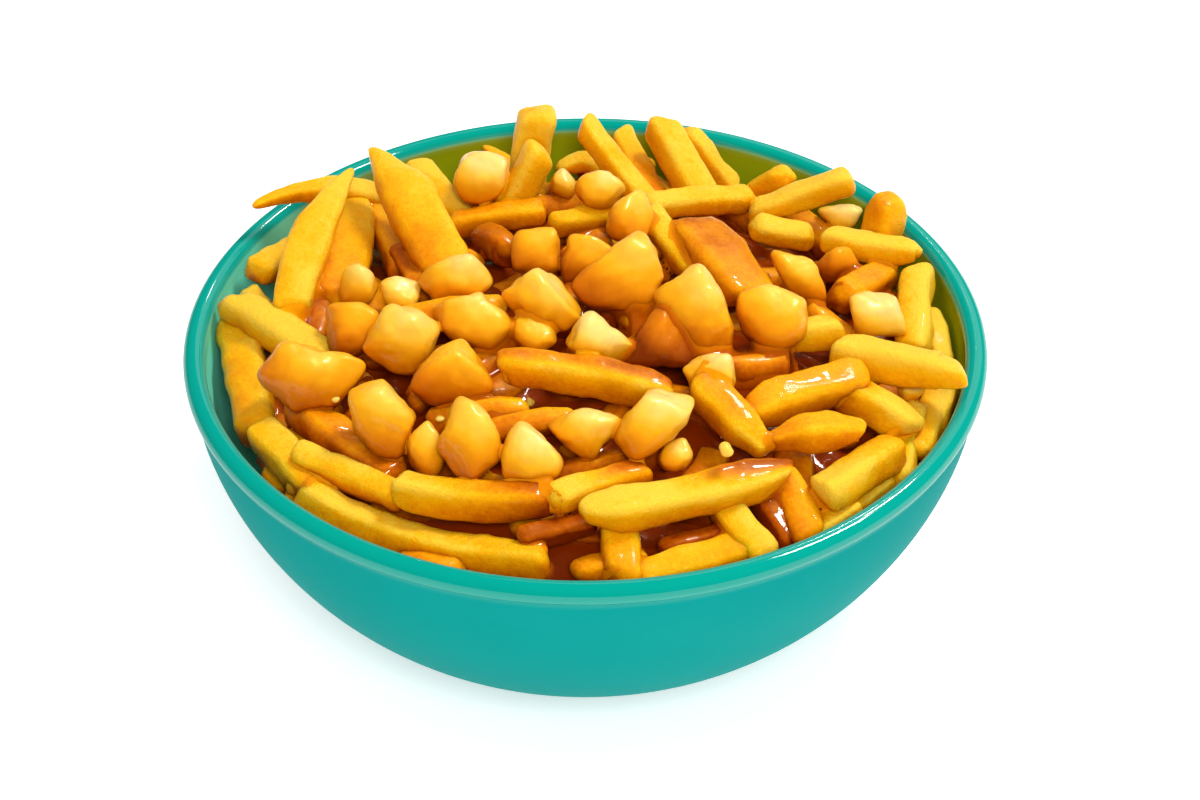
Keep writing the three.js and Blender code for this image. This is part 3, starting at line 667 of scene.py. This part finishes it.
def crumb_shape(field, pixel, half, number, directions, faces):
    """Points and faces of one crumb, half sunk where it lies, with its sauce level."""
    points = directions * half * [1.0, 1.0, crumb_flatness]
    bumps = 0.25 * half * Ripple(8000 + number, 2.5 * half).at(points)
    points = seen_place(field, *pixel) + points + directions * bumps[:, None]
    return points, np.empty((0, 4), int), faces, np.full(len(points), 0.1)


# Layers of fries below those that show: lift, tries, how close they lie, and greatest length
filler_layers = [(-1.5, 2000, 0.95, 34), (-4, 4000, 0.85, 50), (-7, 4000, 0.8, 50), (-10, 2000, 0.8, 62)]


def filler_rows():
    """Fries below those that show: they lie across the bowl wherever there is room."""
    draw = np.random.RandomState(21)
    starts = [placed(*f["start"]) for f in fries]
    ends = [placed(*f["end"]) for f in fries]
    halves = [f["wide"] / 2 for f in fries]
    balls = np.array([curd_middle(row) for row in curds])
    ball_halves = np.array([row["waist"] for row in curds])
    rows = []
    for lift, tries, snug, longest in filler_layers:
        for _ in range(tries):
            wide = draw.uniform(7.0, 9.4)
            length = draw.uniform(14, longest)
            radius = 86 * math.sqrt(draw.uniform())
            around = draw.uniform(0, 2 * math.pi)
            turn = draw.uniform(0, math.pi)
            middle = np.array([radius * math.cos(around), radius * math.sin(around)])
            reach = np.array([math.cos(turn), math.sin(turn)]) * length / 2
            tips = []
            for flat in (middle - reach, middle + reach):
                height = mound_height(math.hypot(*flat)) + lift + draw.uniform(-1.5, 1.5)
                tips.append(np.array([*flat, height]))
            if any(math.hypot(tip[0], tip[1]) > hollow_radius(tip[2]) - wide / 2 - 1 for tip in tips):
                continue
            room = snug * (wide / 2 + np.array(halves))
            if (apart(*tips, np.array(starts), np.array(ends)) < room).any():
                continue
            if (apart(*tips, balls, balls) < wide / 2 + ball_halves * 0.8).any():
                continue
            starts.append(tips[0])
            ends.append(tips[1])
            halves.append(wide / 2)
            # The fries below get more sauce colour than those that show: partly the gravy they lie in, partly
            # painted shade
            sauce = draw.uniform(0.35, 0.8)
            rows.append({
                "points": tips, "wide": wide, "thick": wide, "bend": draw.uniform(-2, 2),
                "tips": (0.85, 0.85), "taper": (2, 2), "sauce": (sauce, draw.uniform(0.35, 0.8)),
                "crest": (0.0, 0.0), "roll": draw.uniform(-45, 45), "lean": 0.0,
            })
    return rows


def apart(start, end, starts, ends):
    """Least distances from one straight line to each of the others, by sampling."""
    steps = np.linspace(0, 1, 9)[:, None]
    one = start + (end - start) * steps
    others = starts[:, None] + (ends - starts)[:, None] * steps
    return np.linalg.norm(one[None, :, None] - others[:, None], axis=-1).min(axis=(1, 2))


def join_shapes(shapes):
    """Several (points, quads, triangles, values) as one."""
    points, quads, triangles, values = [], [], [], []
    total = 0
    for shape in shapes:
        points.append(shape[0])
        quads.append(shape[1] + total)
        triangles.append(shape[2] + total)
        values.append(shape[3])
        total += len(shape[0])
    return np.vstack(points), np.vstack(quads), np.vstack(triangles), np.concatenate(values)


# Gravy: a field that falls below zero inside the pieces and in the crevices between them

cell = 0.8
field_low = np.array([-90.0, -90.0, 60.0])
field_shape = (226, 226, 52)
near_enough = 4.5
film = -0.6
gravy_triangles = 190000
rich_spread, thin_spread = 1.8, 0.6

# Pools: pixel and lift of the middle, then reach to the right and away from the eye
pools = [((746, 366, -4.5), 9, 13)]


class Field:
    """Values over a block of cells round the heap."""

    def __init__(self):
        self.close = np.full(field_shape, near_enough, np.float32)
        self.rich = np.zeros(field_shape, np.float32)
        self.thin = np.zeros(field_shape, np.float32)
        self.sauce = np.zeros(field_shape, np.float32)
        self.weight = np.full(field_shape, 1e-4, np.float32)
        self.crowd = np.zeros(field_shape, np.float32)

    def block(self, low, high):
        """Slices of the cells near a box, and the points in their corners."""
        first = np.floor((low - near_enough - field_low) / cell).astype(int)
        last = np.ceil((high + near_enough - field_low) / cell).astype(int) + 1
        first = np.clip(first, 0, field_shape)
        last = np.clip(last, 0, field_shape)
        slices = tuple(slice(a, b) for a, b in zip(first, last))
        axes = [field_low[k] + cell * np.arange(first[k], last[k]) for k in range(3)]
        return slices, np.stack(np.meshgrid(*axes, indexing="ij"), axis=-1)

    def add(self, low, high, distance, sauce=None):
        """Adds a piece, given how far points are outside it. A pool has no sauce level of its own."""
        slices, points = self.block(low, high)
        if points.size == 0:
            return
        away = distance(points.reshape(-1, 3)).reshape(points.shape[:3])
        if sauce is not None:
            self.close[slices] = np.minimum(self.close[slices], away)
            near = np.exp(-np.maximum(away, 0) / 0.8)
            self.sauce[slices] += near * sauce
            self.weight[slices] += near
            nearness = np.exp(-np.maximum(away, 0) / 2) - math.exp(-near_enough / 2)
            self.crowd[slices] += np.maximum(nearness, 0)
        away = np.maximum(away, -6)
        self.rich[slices] += np.exp(-away / rich_spread)
        self.thin[slices] += np.exp(-away / thin_spread)

    def finish(self):
        """The gravy's own distance: it fills more where the dish is rich in gravy."""
        rich = -rich_spread * np.log(np.maximum(self.rich, 1e-3))
        thin = -thin_spread * np.log(np.maximum(self.thin, 1e-3))
        x = field_low[0] + cell * np.arange(field_shape[0])
        y = field_low[1] + cell * np.arange(field_shape[1])
        share = gravy_share(*np.meshgrid(x, y, indexing="ij"))[..., None]
        self.gravy = thin + (rich - thin) * share - film
        deep = field_low[2] + cell * np.arange(field_shape[2])
        flat_x, flat_y = np.meshgrid(x, y, indexing="ij")
        places = np.stack([flat_x, flat_y, flat_x * 0], axis=-1).reshape(-1, 3)
        uneven = 1.1 * Ripple(77, 11).at(places).reshape(flat_x.shape)
        below = (mound_height(np.hypot(flat_x, flat_y)) - 7.5 + uneven)[..., None]
        self.gravy = np.minimum(self.gravy, deep - below)
        wall = np.array([hollow_radius(z) for z in deep])
        self.gravy += 1.5 * smoothstep(np.hypot(flat_x, flat_y)[..., None] - wall, -7, -1)
        self.sauce /= self.weight
        self.gravy[0], self.gravy[-1], self.gravy[:, 0], self.gravy[:, -1] = 1, 1, 1, 1
        self.gravy[..., 0], self.gravy[..., -1] = 1, 1

    def at(self, grid, points):
        """Values of a grid at points, between its cells."""
        places = (points - field_low) / cell
        places = np.clip(places, 0, np.array(field_shape) - 1.001)
        whole = places.astype(int)
        part = places - whole
        total = 0
        for corner in np.ndindex(2, 2, 2):
            i, j, k = (whole + corner).T
            weight = np.prod(np.where(corner, part, 1 - part), axis=1)
            total = total + grid[i, j, k] * weight
        return total


def gravy_share(x, y):
    """How rich in gravy each place of the dish is, from 0 to 1."""
    share = np.full_like(x, 0.12)
    for pixel_x, pixel_y, reach, amount in (
        (745, 370, 20, 1.0), (650, 320, 30, 0.8), (540, 380, 34, 0.7), (690, 260, 26, 0.7), (840, 290, 18, 0.8),
        (500, 240, 22, 0.6), (410, 380, 24, 0.5), (780, 450, 16, 0.6), (560, 545, 12, 0.35),
    ):
        middle = placed(pixel_x, pixel_y, 0)
        distance = np.hypot(x - middle[0], y - middle[1])
        share = np.maximum(share, amount * np.exp(-(distance / reach) ** 2))
    return share


def surface_of(values):
    """Points and quads of the surface where a grid's values pass through zero."""
    inside = values < 0
    corners = list(np.ndindex(2, 2, 2))
    n = np.array(values.shape) - 1
    count = sum(inside[i:i + n[0], j:j + n[1], k:k + n[2]].astype(np.int8) for i, j, k in corners)
    cells = np.stack(np.nonzero((count > 0) & (count < 8)), axis=-1)
    index = np.full(tuple(n), -1)
    index[tuple(cells.T)] = np.arange(len(cells))
    at_corner = {c: values[tuple((cells + c).T)] for c in corners}
    total = np.zeros((len(cells), 3))
    crossings = np.zeros(len(cells))
    for a in corners:
        for axis in range(3):
            if a[axis]:
                continue
            b = tuple(1 if k == axis else a[k] for k in range(3))
            va, vb = at_corner[a], at_corner[b]
            crossed = (va < 0) != (vb < 0)
            share = va / np.where(crossed, va - vb, 1)
            place = np.array(a, float) + np.outer(share, np.eye(3)[axis])
            total += place * crossed[:, None]
            crossings += crossed
    points = field_low + cell * (cells + total / crossings[:, None])

    quads = []
    for axis in range(3):
        one, two = [k for k in range(3) if k != axis]
        ahead = np.take(inside, range(1, values.shape[axis]), axis)
        here = np.take(inside, range(values.shape[axis] - 1), axis)
        edges = np.stack(np.nonzero(ahead != here), axis=-1)
        keep = (edges[:, one] > 0) & (edges[:, two] > 0) & (edges[:, one] < n[one]) & (edges[:, two] < n[two])
        edges = edges[keep]
        ring = []
        for back_one, back_two in ((1, 1), (0, 1), (0, 0), (1, 0)):
            moved = edges.copy()
            moved[:, one] -= back_one
            moved[:, two] -= back_two
            ring.append(index[tuple(moved.T)])
        quad = np.stack(ring, axis=-1)
        starts_inside = inside[tuple(edges.T)]
        flip = starts_inside if axis == 1 else ~starts_inside
        quads.append(np.where(flip[:, None], quad[:, ::-1], quad))
    return points, np.vstack(quads)


def largest_part(points, quads):
    """The points and quads of the largest connected part."""
    label = np.arange(len(points))
    while True:
        low = label[quads].min(axis=1)
        new = label.copy()
        np.minimum.at(new, quads.ravel(), np.repeat(low, 4))
        new = new[new]
        if np.array_equal(new, label):
            break
        label = new
    main = np.bincount(label).argmax()
    kept = label == main
    index = np.cumsum(kept) - 1
    return points[kept], index[quads[kept[quads[:, 0]]]]


def relaxed(points, quads, rounds=2):
    """The surface with its points drawn toward their neighbours."""
    for _ in range(rounds):
        total = np.zeros_like(points)
        count = np.zeros(len(points))
        for a, b in ((0, 1), (1, 2), (2, 3), (3, 0)):
            for one, two in ((a, b), (b, a)):
                np.add.at(total, quads[:, one], points[quads[:, two]])
                np.add.at(count, quads[:, one], 1)
        points = points * 0.5 + total / count[:, None] * 0.5
    return points


def thinned(points, quads, most):
    """Points and triangles of the surface with at most so many triangles: flat stretches lose the most."""
    piece = make_piece("to_thin", points, quads)
    thinning = piece.modifiers.new("thinning", "DECIMATE")
    thinning.ratio = most / (2 * len(quads))
    mesh = bpy.data.meshes.new_from_object(piece.evaluated_get(bpy.context.evaluated_depsgraph_get()))
    mesh.calc_loop_triangles()
    places = np.empty(len(mesh.vertices) * 3, np.float32)
    mesh.vertices.foreach_get("co", places)
    corners = np.empty(len(mesh.loop_triangles) * 3, np.int32)
    mesh.loop_triangles.foreach_get("vertices", corners)
    thick = piece.data
    bpy.data.objects.remove(piece)
    bpy.data.meshes.remove(thick)
    bpy.data.meshes.remove(mesh)
    return places.reshape(-1, 3).astype(float) / MM, corners.reshape(-1, 3)


def curd_distance(points, faces):
    """A function that gives how far points are outside a curd."""
    tree = BVHTree.FromPolygons([Vector(p) for p in points], faces.tolist())
    middle = points.mean(axis=0)
    least = np.linalg.norm(points - middle, axis=1).min()
    most = np.linalg.norm(points - middle, axis=1).max()

    def distance(places):
        away = np.linalg.norm(places - middle, axis=1)
        result = np.where(away < least, away - least - 1.0, away - most + 1.0)
        for n in np.nonzero((away > least - 1.0) & (away < most + near_enough))[0]:
            place = Vector(places[n])
            spot, normal, _, gone = tree.find_nearest(place)
            result[n] = gone if (place - spot).dot(normal) > 0 else -gone
        return result

    return distance


# Materials

class Shader:
    """A node material, built by short calls."""

    def __init__(self, name):
        self.material = bpy.data.materials.new(name)
        self.material.use_nodes = True
        self.tree = self.material.node_tree
        self.tree.nodes.clear()
        self.output = self.add("ShaderNodeOutputMaterial")
        self.surface = self.add("ShaderNodeBsdfPrincipled")
        self.link(self.surface.outputs[0], self.output.inputs[0])
        self.place = self.add("ShaderNodeTexCoord").outputs["Object"]

    def add(self, kind, **values):
        node = self.tree.nodes.new(kind)
        for key, value in values.items():
            setattr(node, key, value)
        return node

    def link(self, source, target):
        self.tree.links.new(source, target)

    def field(self, name):
        return self.add("ShaderNodeAttribute", attribute_name=name).outputs["Fac"]

    def noise(self, size, detail=3.0, rough=0.55):
        """Noise from 0 to 1 whose features are about size millimetres across."""
        node = self.add("ShaderNodeTexNoise")
        self.link(self.place, node.inputs["Vector"])
        node.inputs["Scale"].default_value = 1 / (size * MM)
        node.inputs["Detail"].default_value = detail
        node.inputs["Roughness"].default_value = rough
        return node.outputs["Fac"]

    def math(self, operation, *values, clamp=False):
        node = self.add("ShaderNodeMath", operation=operation, use_clamp=clamp)
        for slot, value in zip(node.inputs, values):
            if isinstance(value, (int, float)):
                slot.default_value = value
            else:
                self.link(value, slot)
        return node.outputs[0]

    def around(self, value, amount):
        """Turns noise from 0 to 1 into a change of up to half of amount each way."""
        return self.math("MULTIPLY", self.math("SUBTRACT", value, 0.5), amount)

    def ramp(self, value, stops):
        node = self.add("ShaderNodeValToRGB")
        self.link(value, node.inputs[0])
        elements = node.color_ramp.elements
        while len(elements) < len(stops):
            elements.new(0.5)
        for element, (place, colour) in zip(elements, stops):
            element.position = place
            element.color = (*colour, 1)
        return node.outputs[0]

    def spread(self, value, low, high, out_low, out_high):
        node = self.add("ShaderNodeMapRange")
        self.link(value, node.inputs[0])
        for slot, number in zip(node.inputs[1:5], (low, high, out_low, out_high)):
            slot.default_value = number
        return node.outputs[0]

    def mix(self, share, one, two, blend="MIX"):
        node = self.add("ShaderNodeMix", data_type="RGBA", blend_type=blend)
        for slot, value in ((node.inputs[0], share), (node.inputs[6], one), (node.inputs[7], two)):
            if isinstance(value, (int, float)):
                slot.default_value = value
            elif isinstance(value, tuple):
                slot.default_value = (*value, 1)
            else:
                self.link(value, slot)
        return node.outputs[2]

    def bump(self, height, strength, distance, normal=None):
        node = self.add("ShaderNodeBump")
        self.link(height, node.inputs["Height"])
        node.inputs["Distance"].default_value = distance * MM
        if isinstance(strength, (int, float)):
            node.inputs["Strength"].default_value = strength
        else:
            self.link(strength, node.inputs["Strength"])
        if normal:
            self.link(normal, node.inputs["Normal"])
        return node.outputs[0]

    def set(self, **values):
        for key, value in values.items():
            slot = self.surface.inputs[key.replace("_", " ")]
            if slot.type == "RGBA" and isinstance(value, tuple):
                slot.default_value = (*value, 1)
            elif isinstance(value, (int, float, tuple)):
                slot.default_value = value
            else:
                self.link(value, slot)


def glaze_material():
    shader = Shader("turquoise_glaze")
    colour = shader.mix(shader.noise(30, detail=2), (0.0, 0.24, 0.22), (0.0, 0.265, 0.243))
    colour = shader.mix(shader.field("lip"), colour, (0.0, 0.28, 0.22))
    # Painted light: the inside of the wall is given a lighter mint colour to make up for the little light that
    # reaches it
    colour = shader.mix(shader.field("inside"), colour, (0.16, 0.72, 0.5))
    # Painted reflection: olive-yellow on the inside of the wall, as if it mirrored the food
    colour = shader.mix(shader.field("painted_food_reflection"), colour, (0.27, 0.33, 0.003))
    shader.set(
        Base_Color=colour,
        Roughness=0.3,
        Specular_IOR_Level=0.0,
        Coat_Weight=shader.spread(shader.field("lip"), 0, 1, 0.08, 0.7), Coat_Roughness=0.06,
        Normal=shader.bump(shader.noise(24, detail=0), 0.1, 0.3),
    )
    return shader.material


full_light = 1.43


def in_full_light(stops):
    """Surface colours that show as the given ones in the light that falls on the heap."""
    return [(place, tuple(part / full_light for part in colour)) for place, colour in stops]


sauce_colours = in_full_light([
    (0.0, (1.22, 0.74, 0.05)), (0.15, (1.20, 0.61, 0.006)), (0.3, (1.14, 0.47, 0.001)),
    (0.45, (1.00, 0.33, 0.001)), (0.6, (0.80, 0.205, 0.0005)), (0.75, (0.58, 0.115, 0.0002)),
    (0.9, (0.42, 0.062, 0.0001)), (1.0, (0.28, 0.028, 0.0)),
])


def fry_material():
    shader = Shader("fry")
    patches = shader.around(shader.noise(8, detail=3), 0.5)
    grain = shader.around(shader.noise(1.2, detail=4, rough=0.7), 0.4)
    sauce = shader.math("ADD", shader.field("sauce"), patches)
    sauce = shader.math("ADD", sauce, grain, clamp=True)
    dry = shader.spread(sauce, 0.15, 0.6, 1.0, 0.12)
    pits = shader.noise(1.1, detail=4, rough=0.75)
    swell = shader.noise(3.5, detail=2)
    normal = shader.bump(pits, shader.math("MULTIPLY", dry, 0.9), 0.6)
    normal = shader.bump(swell, 0.4, 0.6, normal)
    shader.set(
        Base_Color=shader.ramp(sauce, sauce_colours),
        Roughness=0.42,
        Specular_IOR_Level=0.3, Specular_Tint=(1.0, 0.65, 0.12),
        Coat_Weight=shader.spread(sauce, 0.2, 0.6, 0.02, 0.5), Coat_Roughness=0.04,
        Subsurface_Weight=0.45, Subsurface_Radius=(1.0, 0.42, 0.12), Subsurface_Scale=0.003,
        Normal=normal,
    )
    return shader.material


def curd_material():
    shader = Shader("curd")
    patches = shader.around(shader.noise(7, detail=2), 0.25)
    grain = shader.around(shader.noise(1.5, detail=3), 0.06)
    sauce = shader.math("ADD", shader.field("sauce"), patches)
    sauce = shader.math("ADD", sauce, grain, clamp=True)
    colour = shader.ramp(sauce, in_full_light([
        (0.0, (1.22, 0.84, 0.24)), (0.15, (1.20, 0.68, 0.07)), (0.3, (1.15, 0.53, 0.010)),
        (0.45, (1.04, 0.38, 0.003)), (0.6, (0.86, 0.24, 0.001)), (0.8, (0.56, 0.11, 0.0003)),
        (1.0, (0.27, 0.03, 0.0)),
    ]))
    normal = shader.bump(shader.noise(2.6, detail=2), 0.25, 0.5)
    shader.set(
        Base_Color=colour, Roughness=0.38,
        Specular_IOR_Level=0.4, Specular_Tint=(1.0, 0.72, 0.2),
        Coat_Weight=0.32, Coat_Roughness=0.05,
        Subsurface_Weight=0.45, Subsurface_Radius=(1.0, 0.5, 0.15), Subsurface_Scale=0.004,
        Normal=normal,
    )
    return shader.material


def gravy_material():
    shader = Shader("gravy")
    patches = shader.around(shader.noise(6, detail=3), 0.2)
    sauce = shader.math("ADD", shader.field("sauce"), patches, clamp=True)
    shader.set(
        Base_Color=shader.ramp(sauce, sauce_colours), Roughness=0.3,
        Specular_IOR_Level=0.1, Specular_Tint=(1.0, 0.6, 0.2),
        Coat_Weight=0.6, Coat_Roughness=0.03,
        Subsurface_Weight=0.1, Subsurface_Radius=(1.0, 0.3, 0.05), Subsurface_Scale=0.003,
        Normal=shader.bump(shader.noise(3.2, detail=2), 0.4, 0.6),
    )
    return shader.material


def floor_material():
    shader = Shader("pale_floor")
    shader.set(Base_Color=(0.85, 0.85, 0.85), Roughness=0.9, Specular_IOR_Level=0.1)
    shader.set(Emission_Color=(1.0, 1.0, 1.0), Emission_Strength=0.45)
    return shader.material


# Scene

def make_bowl():
    points, quads, triangles = turned(bowl_profile(), bowl_sides)

    # Painted reflection: the inside of the wall is tinted olive-yellow, as if it mirrored the food, all round but
    # at the left
    from_left = np.degrees(np.arctan2(np.abs(points[:, 1]), -points[:, 0]))
    radius = np.hypot(points[:, 0], points[:, 1])
    hollow = np.array([hollow_radius(z) for z in points[:, 2]])
    inside = smoothstep(bowl_height - 1.4 - points[:, 2], 0, 1.4)
    inside *= (radius < hollow + 0.5) & (points[:, 2] > floor_top - 0.1)
    painted_food_reflection = smoothstep(from_left, 18, 62) * inside
    lip = smoothstep(points[:, 2], bowl_height - 2.5 * lip_radius, bowl_height - 1.5 * lip_radius)
    fields = {"inside": inside, "painted_food_reflection": painted_food_reflection, "lip": lip}
    piece = make_piece("bowl_glazed", points, quads, triangles, glaze_material(), fields)
    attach(piece, "root")
    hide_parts("bowl")


def make_food():
    sphere = bmesh.new()
    bmesh.ops.create_icosphere(sphere, subdivisions=5, radius=1)
    directions = unit(np.array([v.co for v in sphere.verts]))
    sphere_faces = np.array([[v.index for v in f.verts] for f in sphere.faces])
    sphere.free()

    shown = [Fry(row, 100 + n) for n, row in enumerate(fries)]
    below = [Fry(row, 700 + n, spacing=5) for n, row in enumerate(filler_rows())]
    curd_points = [curd_shape(row, n, directions)[0] for n, row in enumerate(curds)]

    field = Field()
    for piece in shown + below:
        field.add(*piece.bounds(), piece.distance, sum(piece.row["sauce"]) / 2)
    for row, points in zip(curds, curd_points):
        distance = curd_distance(points, sphere_faces)
        field.add(points.min(axis=0), points.max(axis=0), distance, row["sauce"])
    for (x, y, lift), wide, deep in pools:
        middle = placed(x, y, lift)

        def distance(places):
            out = np.hypot((places[:, 0] - middle[0]) / wide, (places[:, 1] - middle[1]) / deep)
            return np.maximum(places[:, 2] - middle[2], (out - 1) * min(wide, deep))

        field.add(middle - [wide, deep, 6], middle + [wide, deep, 1], distance)
    field.finish()

    def gravy_and_shade(points):
        """How much more sauce colour a point gets near other pieces, in crevices and sunk below the mound: partly
        gravy that gathers there, partly painted shade.
        """
        wet = 0.4 * smoothstep(-field.at(field.gravy, points), film, 1.4)
        crowded = 0.25 * smoothstep(field.at(field.crowd, points), 1.05, 2.4)
        sunk = 0.12 * smoothstep(mound_height(np.hypot(points[:, 0], points[:, 1])) - points[:, 2], 1, 8)
        return wet + crowded + sunk

    fry_look = fry_material()
    for name, group, around in (("fries", shown, 28), ("fries_below", below, 16)):
        points, quads, triangles, sauce = join_shapes([piece.shape(around) for piece in group])
        sauce = sauce + gravy_and_shade(points)
        piece = make_piece(name, points, quads, triangles, fry_look, {"sauce": sauce})
        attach(piece, "root")
        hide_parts("fries_heap")

    curd_look = curd_material()
    for n, points in enumerate(curd_points):
        # Painted light: the side of each curd turned toward the key light is paler, the far side more orange
        facing_light = unit(points - points.mean(axis=0)) @ painted_light_toward
        sauce = curds[n]["sauce"] + gravy_and_shade(points) + 0.4 * (0.45 - facing_light)
        piece = make_piece(f"curd_{n + 1:02d}_soft", points, [], sphere_faces, curd_look, {"sauce": sauce})
        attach(piece, "root")
        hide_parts(f"curd_{n + 1:02d}")

    small = bmesh.new()
    bmesh.ops.create_icosphere(small, subdivisions=3, radius=1)
    small_directions = unit(np.array([v.co for v in small.verts]))
    small_faces = np.array([[v.index for v in f.verts] for f in small.faces])
    small.free()
    bits = [crumb_shape(field, pixel, half, n, small_directions, small_faces)
            for n, (pixel, half) in enumerate(crumbs)]
    points, quads, triangles, sauce = join_shapes(bits)
    piece = make_piece("crumbs", points, quads, triangles, curd_look, {"sauce": sauce})
    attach(piece, "root")

    points, quads = largest_part(*surface_of(field.gravy))
    points, triangles = thinned(relaxed(points, quads), quads, gravy_triangles)
    # Darker where the gravy lies farther from the pieces and deeper below the mound's top: partly thicker gravy,
    # partly painted shade in the crevices
    sauce = field.at(field.sauce, points) + 0.22
    sauce += 0.4 * smoothstep(field.at(field.close, points), 0, 1.8)
    sauce += 0.15 * smoothstep(mound_height(np.hypot(points[:, 0], points[:, 1])) - points[:, 2], 0, 6)
    piece = make_piece("gravy_pool", points, [], triangles, gravy_material(), {"sauce": sauce})
    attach(piece, "root")
    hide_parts("gravy")


def make_floor():
    reach = 3000
    points = [(-reach, -reach, 0), (reach, -reach, 0), (reach, reach, 0), (-reach, reach, 0)]
    floor = make_piece("floor", np.array(points, float), [(0, 1, 2, 3)], material=floor_material())


def area_light(name, place, size, power, glints=True, shading=True, only=None):
    light = bpy.data.lights.new(name, "AREA")
    light.shape = "RECTANGLE"
    light.size, light.size_y = size
    light.energy = power
    lamp = bpy.data.objects.new(name, light)
    lamp.location = place
    aim = Vector((0, 0, bowl_height * MM)) - Vector(place)
    lamp.rotation_euler = aim.to_track_quat("-Z", "Y").to_euler()
    lamp.visible_diffuse = shading
    lamp.visible_glossy = glints
    if only:
        lit = bpy.data.collections.new(f"{name}_lights")
        lit.objects.link(bpy.data.objects[only])
        lamp.light_linking.receiver_collection = lit
    bpy.context.scene.collection.objects.link(lamp)


def make_world():
    """Even white light from all round, weaker where it would only show as a haze of reflections."""
    world = bpy.data.worlds.new("studio")
    world.use_nodes = True
    tree = world.node_tree
    strength = tree.nodes.new("ShaderNodeMapRange")
    path = tree.nodes.new("ShaderNodeLightPath")
    tree.links.new(path.outputs["Is Glossy Ray"], strength.inputs["Value"])
    strength.inputs["To Min"].default_value = 0.65
    strength.inputs["To Max"].default_value = 0.06
    background = tree.nodes["Background"]
    background.inputs["Color"].default_value = (1, 1, 1, 1)
    tree.links.new(strength.outputs[0], background.inputs["Strength"])
    bpy.context.scene.world = world


def make_light():
    make_world()
    area_light("key", (0.5, 0.3, 1.1), (0.25, 0.25), 10.0)
    area_light("fill", (0.1, -0.9, 0.9), (0.3, 0.3), 8.0, glints=False)
    area_light("soft_box", (0.38, 0.53, 0.85), (0.04, 0.1), 3.5, shading=False)
    area_light("wet_box", (0.12, 0.8, 0.72), (0.035, 0.035), 0.35, shading=False)
    area_light("wide_box", (0.35, 0.8, 0.75), (0.8, 0.7), 2.0, shading=False, only="bowl_glazed")
    bpy.context.scene.view_settings.view_transform = "Standard"


def make_camera():
    """The camera stands where the picture was taken and looks a little below the rim's middle."""
    camera = bpy.data.cameras.new("camera")
    camera.sensor_width = 36
    camera.lens = 36 * view_focal / picture_size[0]
    camera.clip_end = 100
    aim = -toward_eye
    aim = aim + toward_right * ((picture_size[0] / 2 - view_middle[0]) / view_focal)
    aim = aim - toward_top * ((picture_size[1] / 2 - view_middle[1]) / view_focal)
    piece = bpy.data.objects.new("camera", camera)
    piece.location = Vector(eye * MM)
    piece.rotation_euler = Vector(aim).to_track_quat("-Z", "Y").to_euler()
    bpy.context.scene.collection.objects.link(piece)
    bpy.context.scene.camera = piece


make_camera()
make_bowl()
make_food()
make_floor()
make_light()
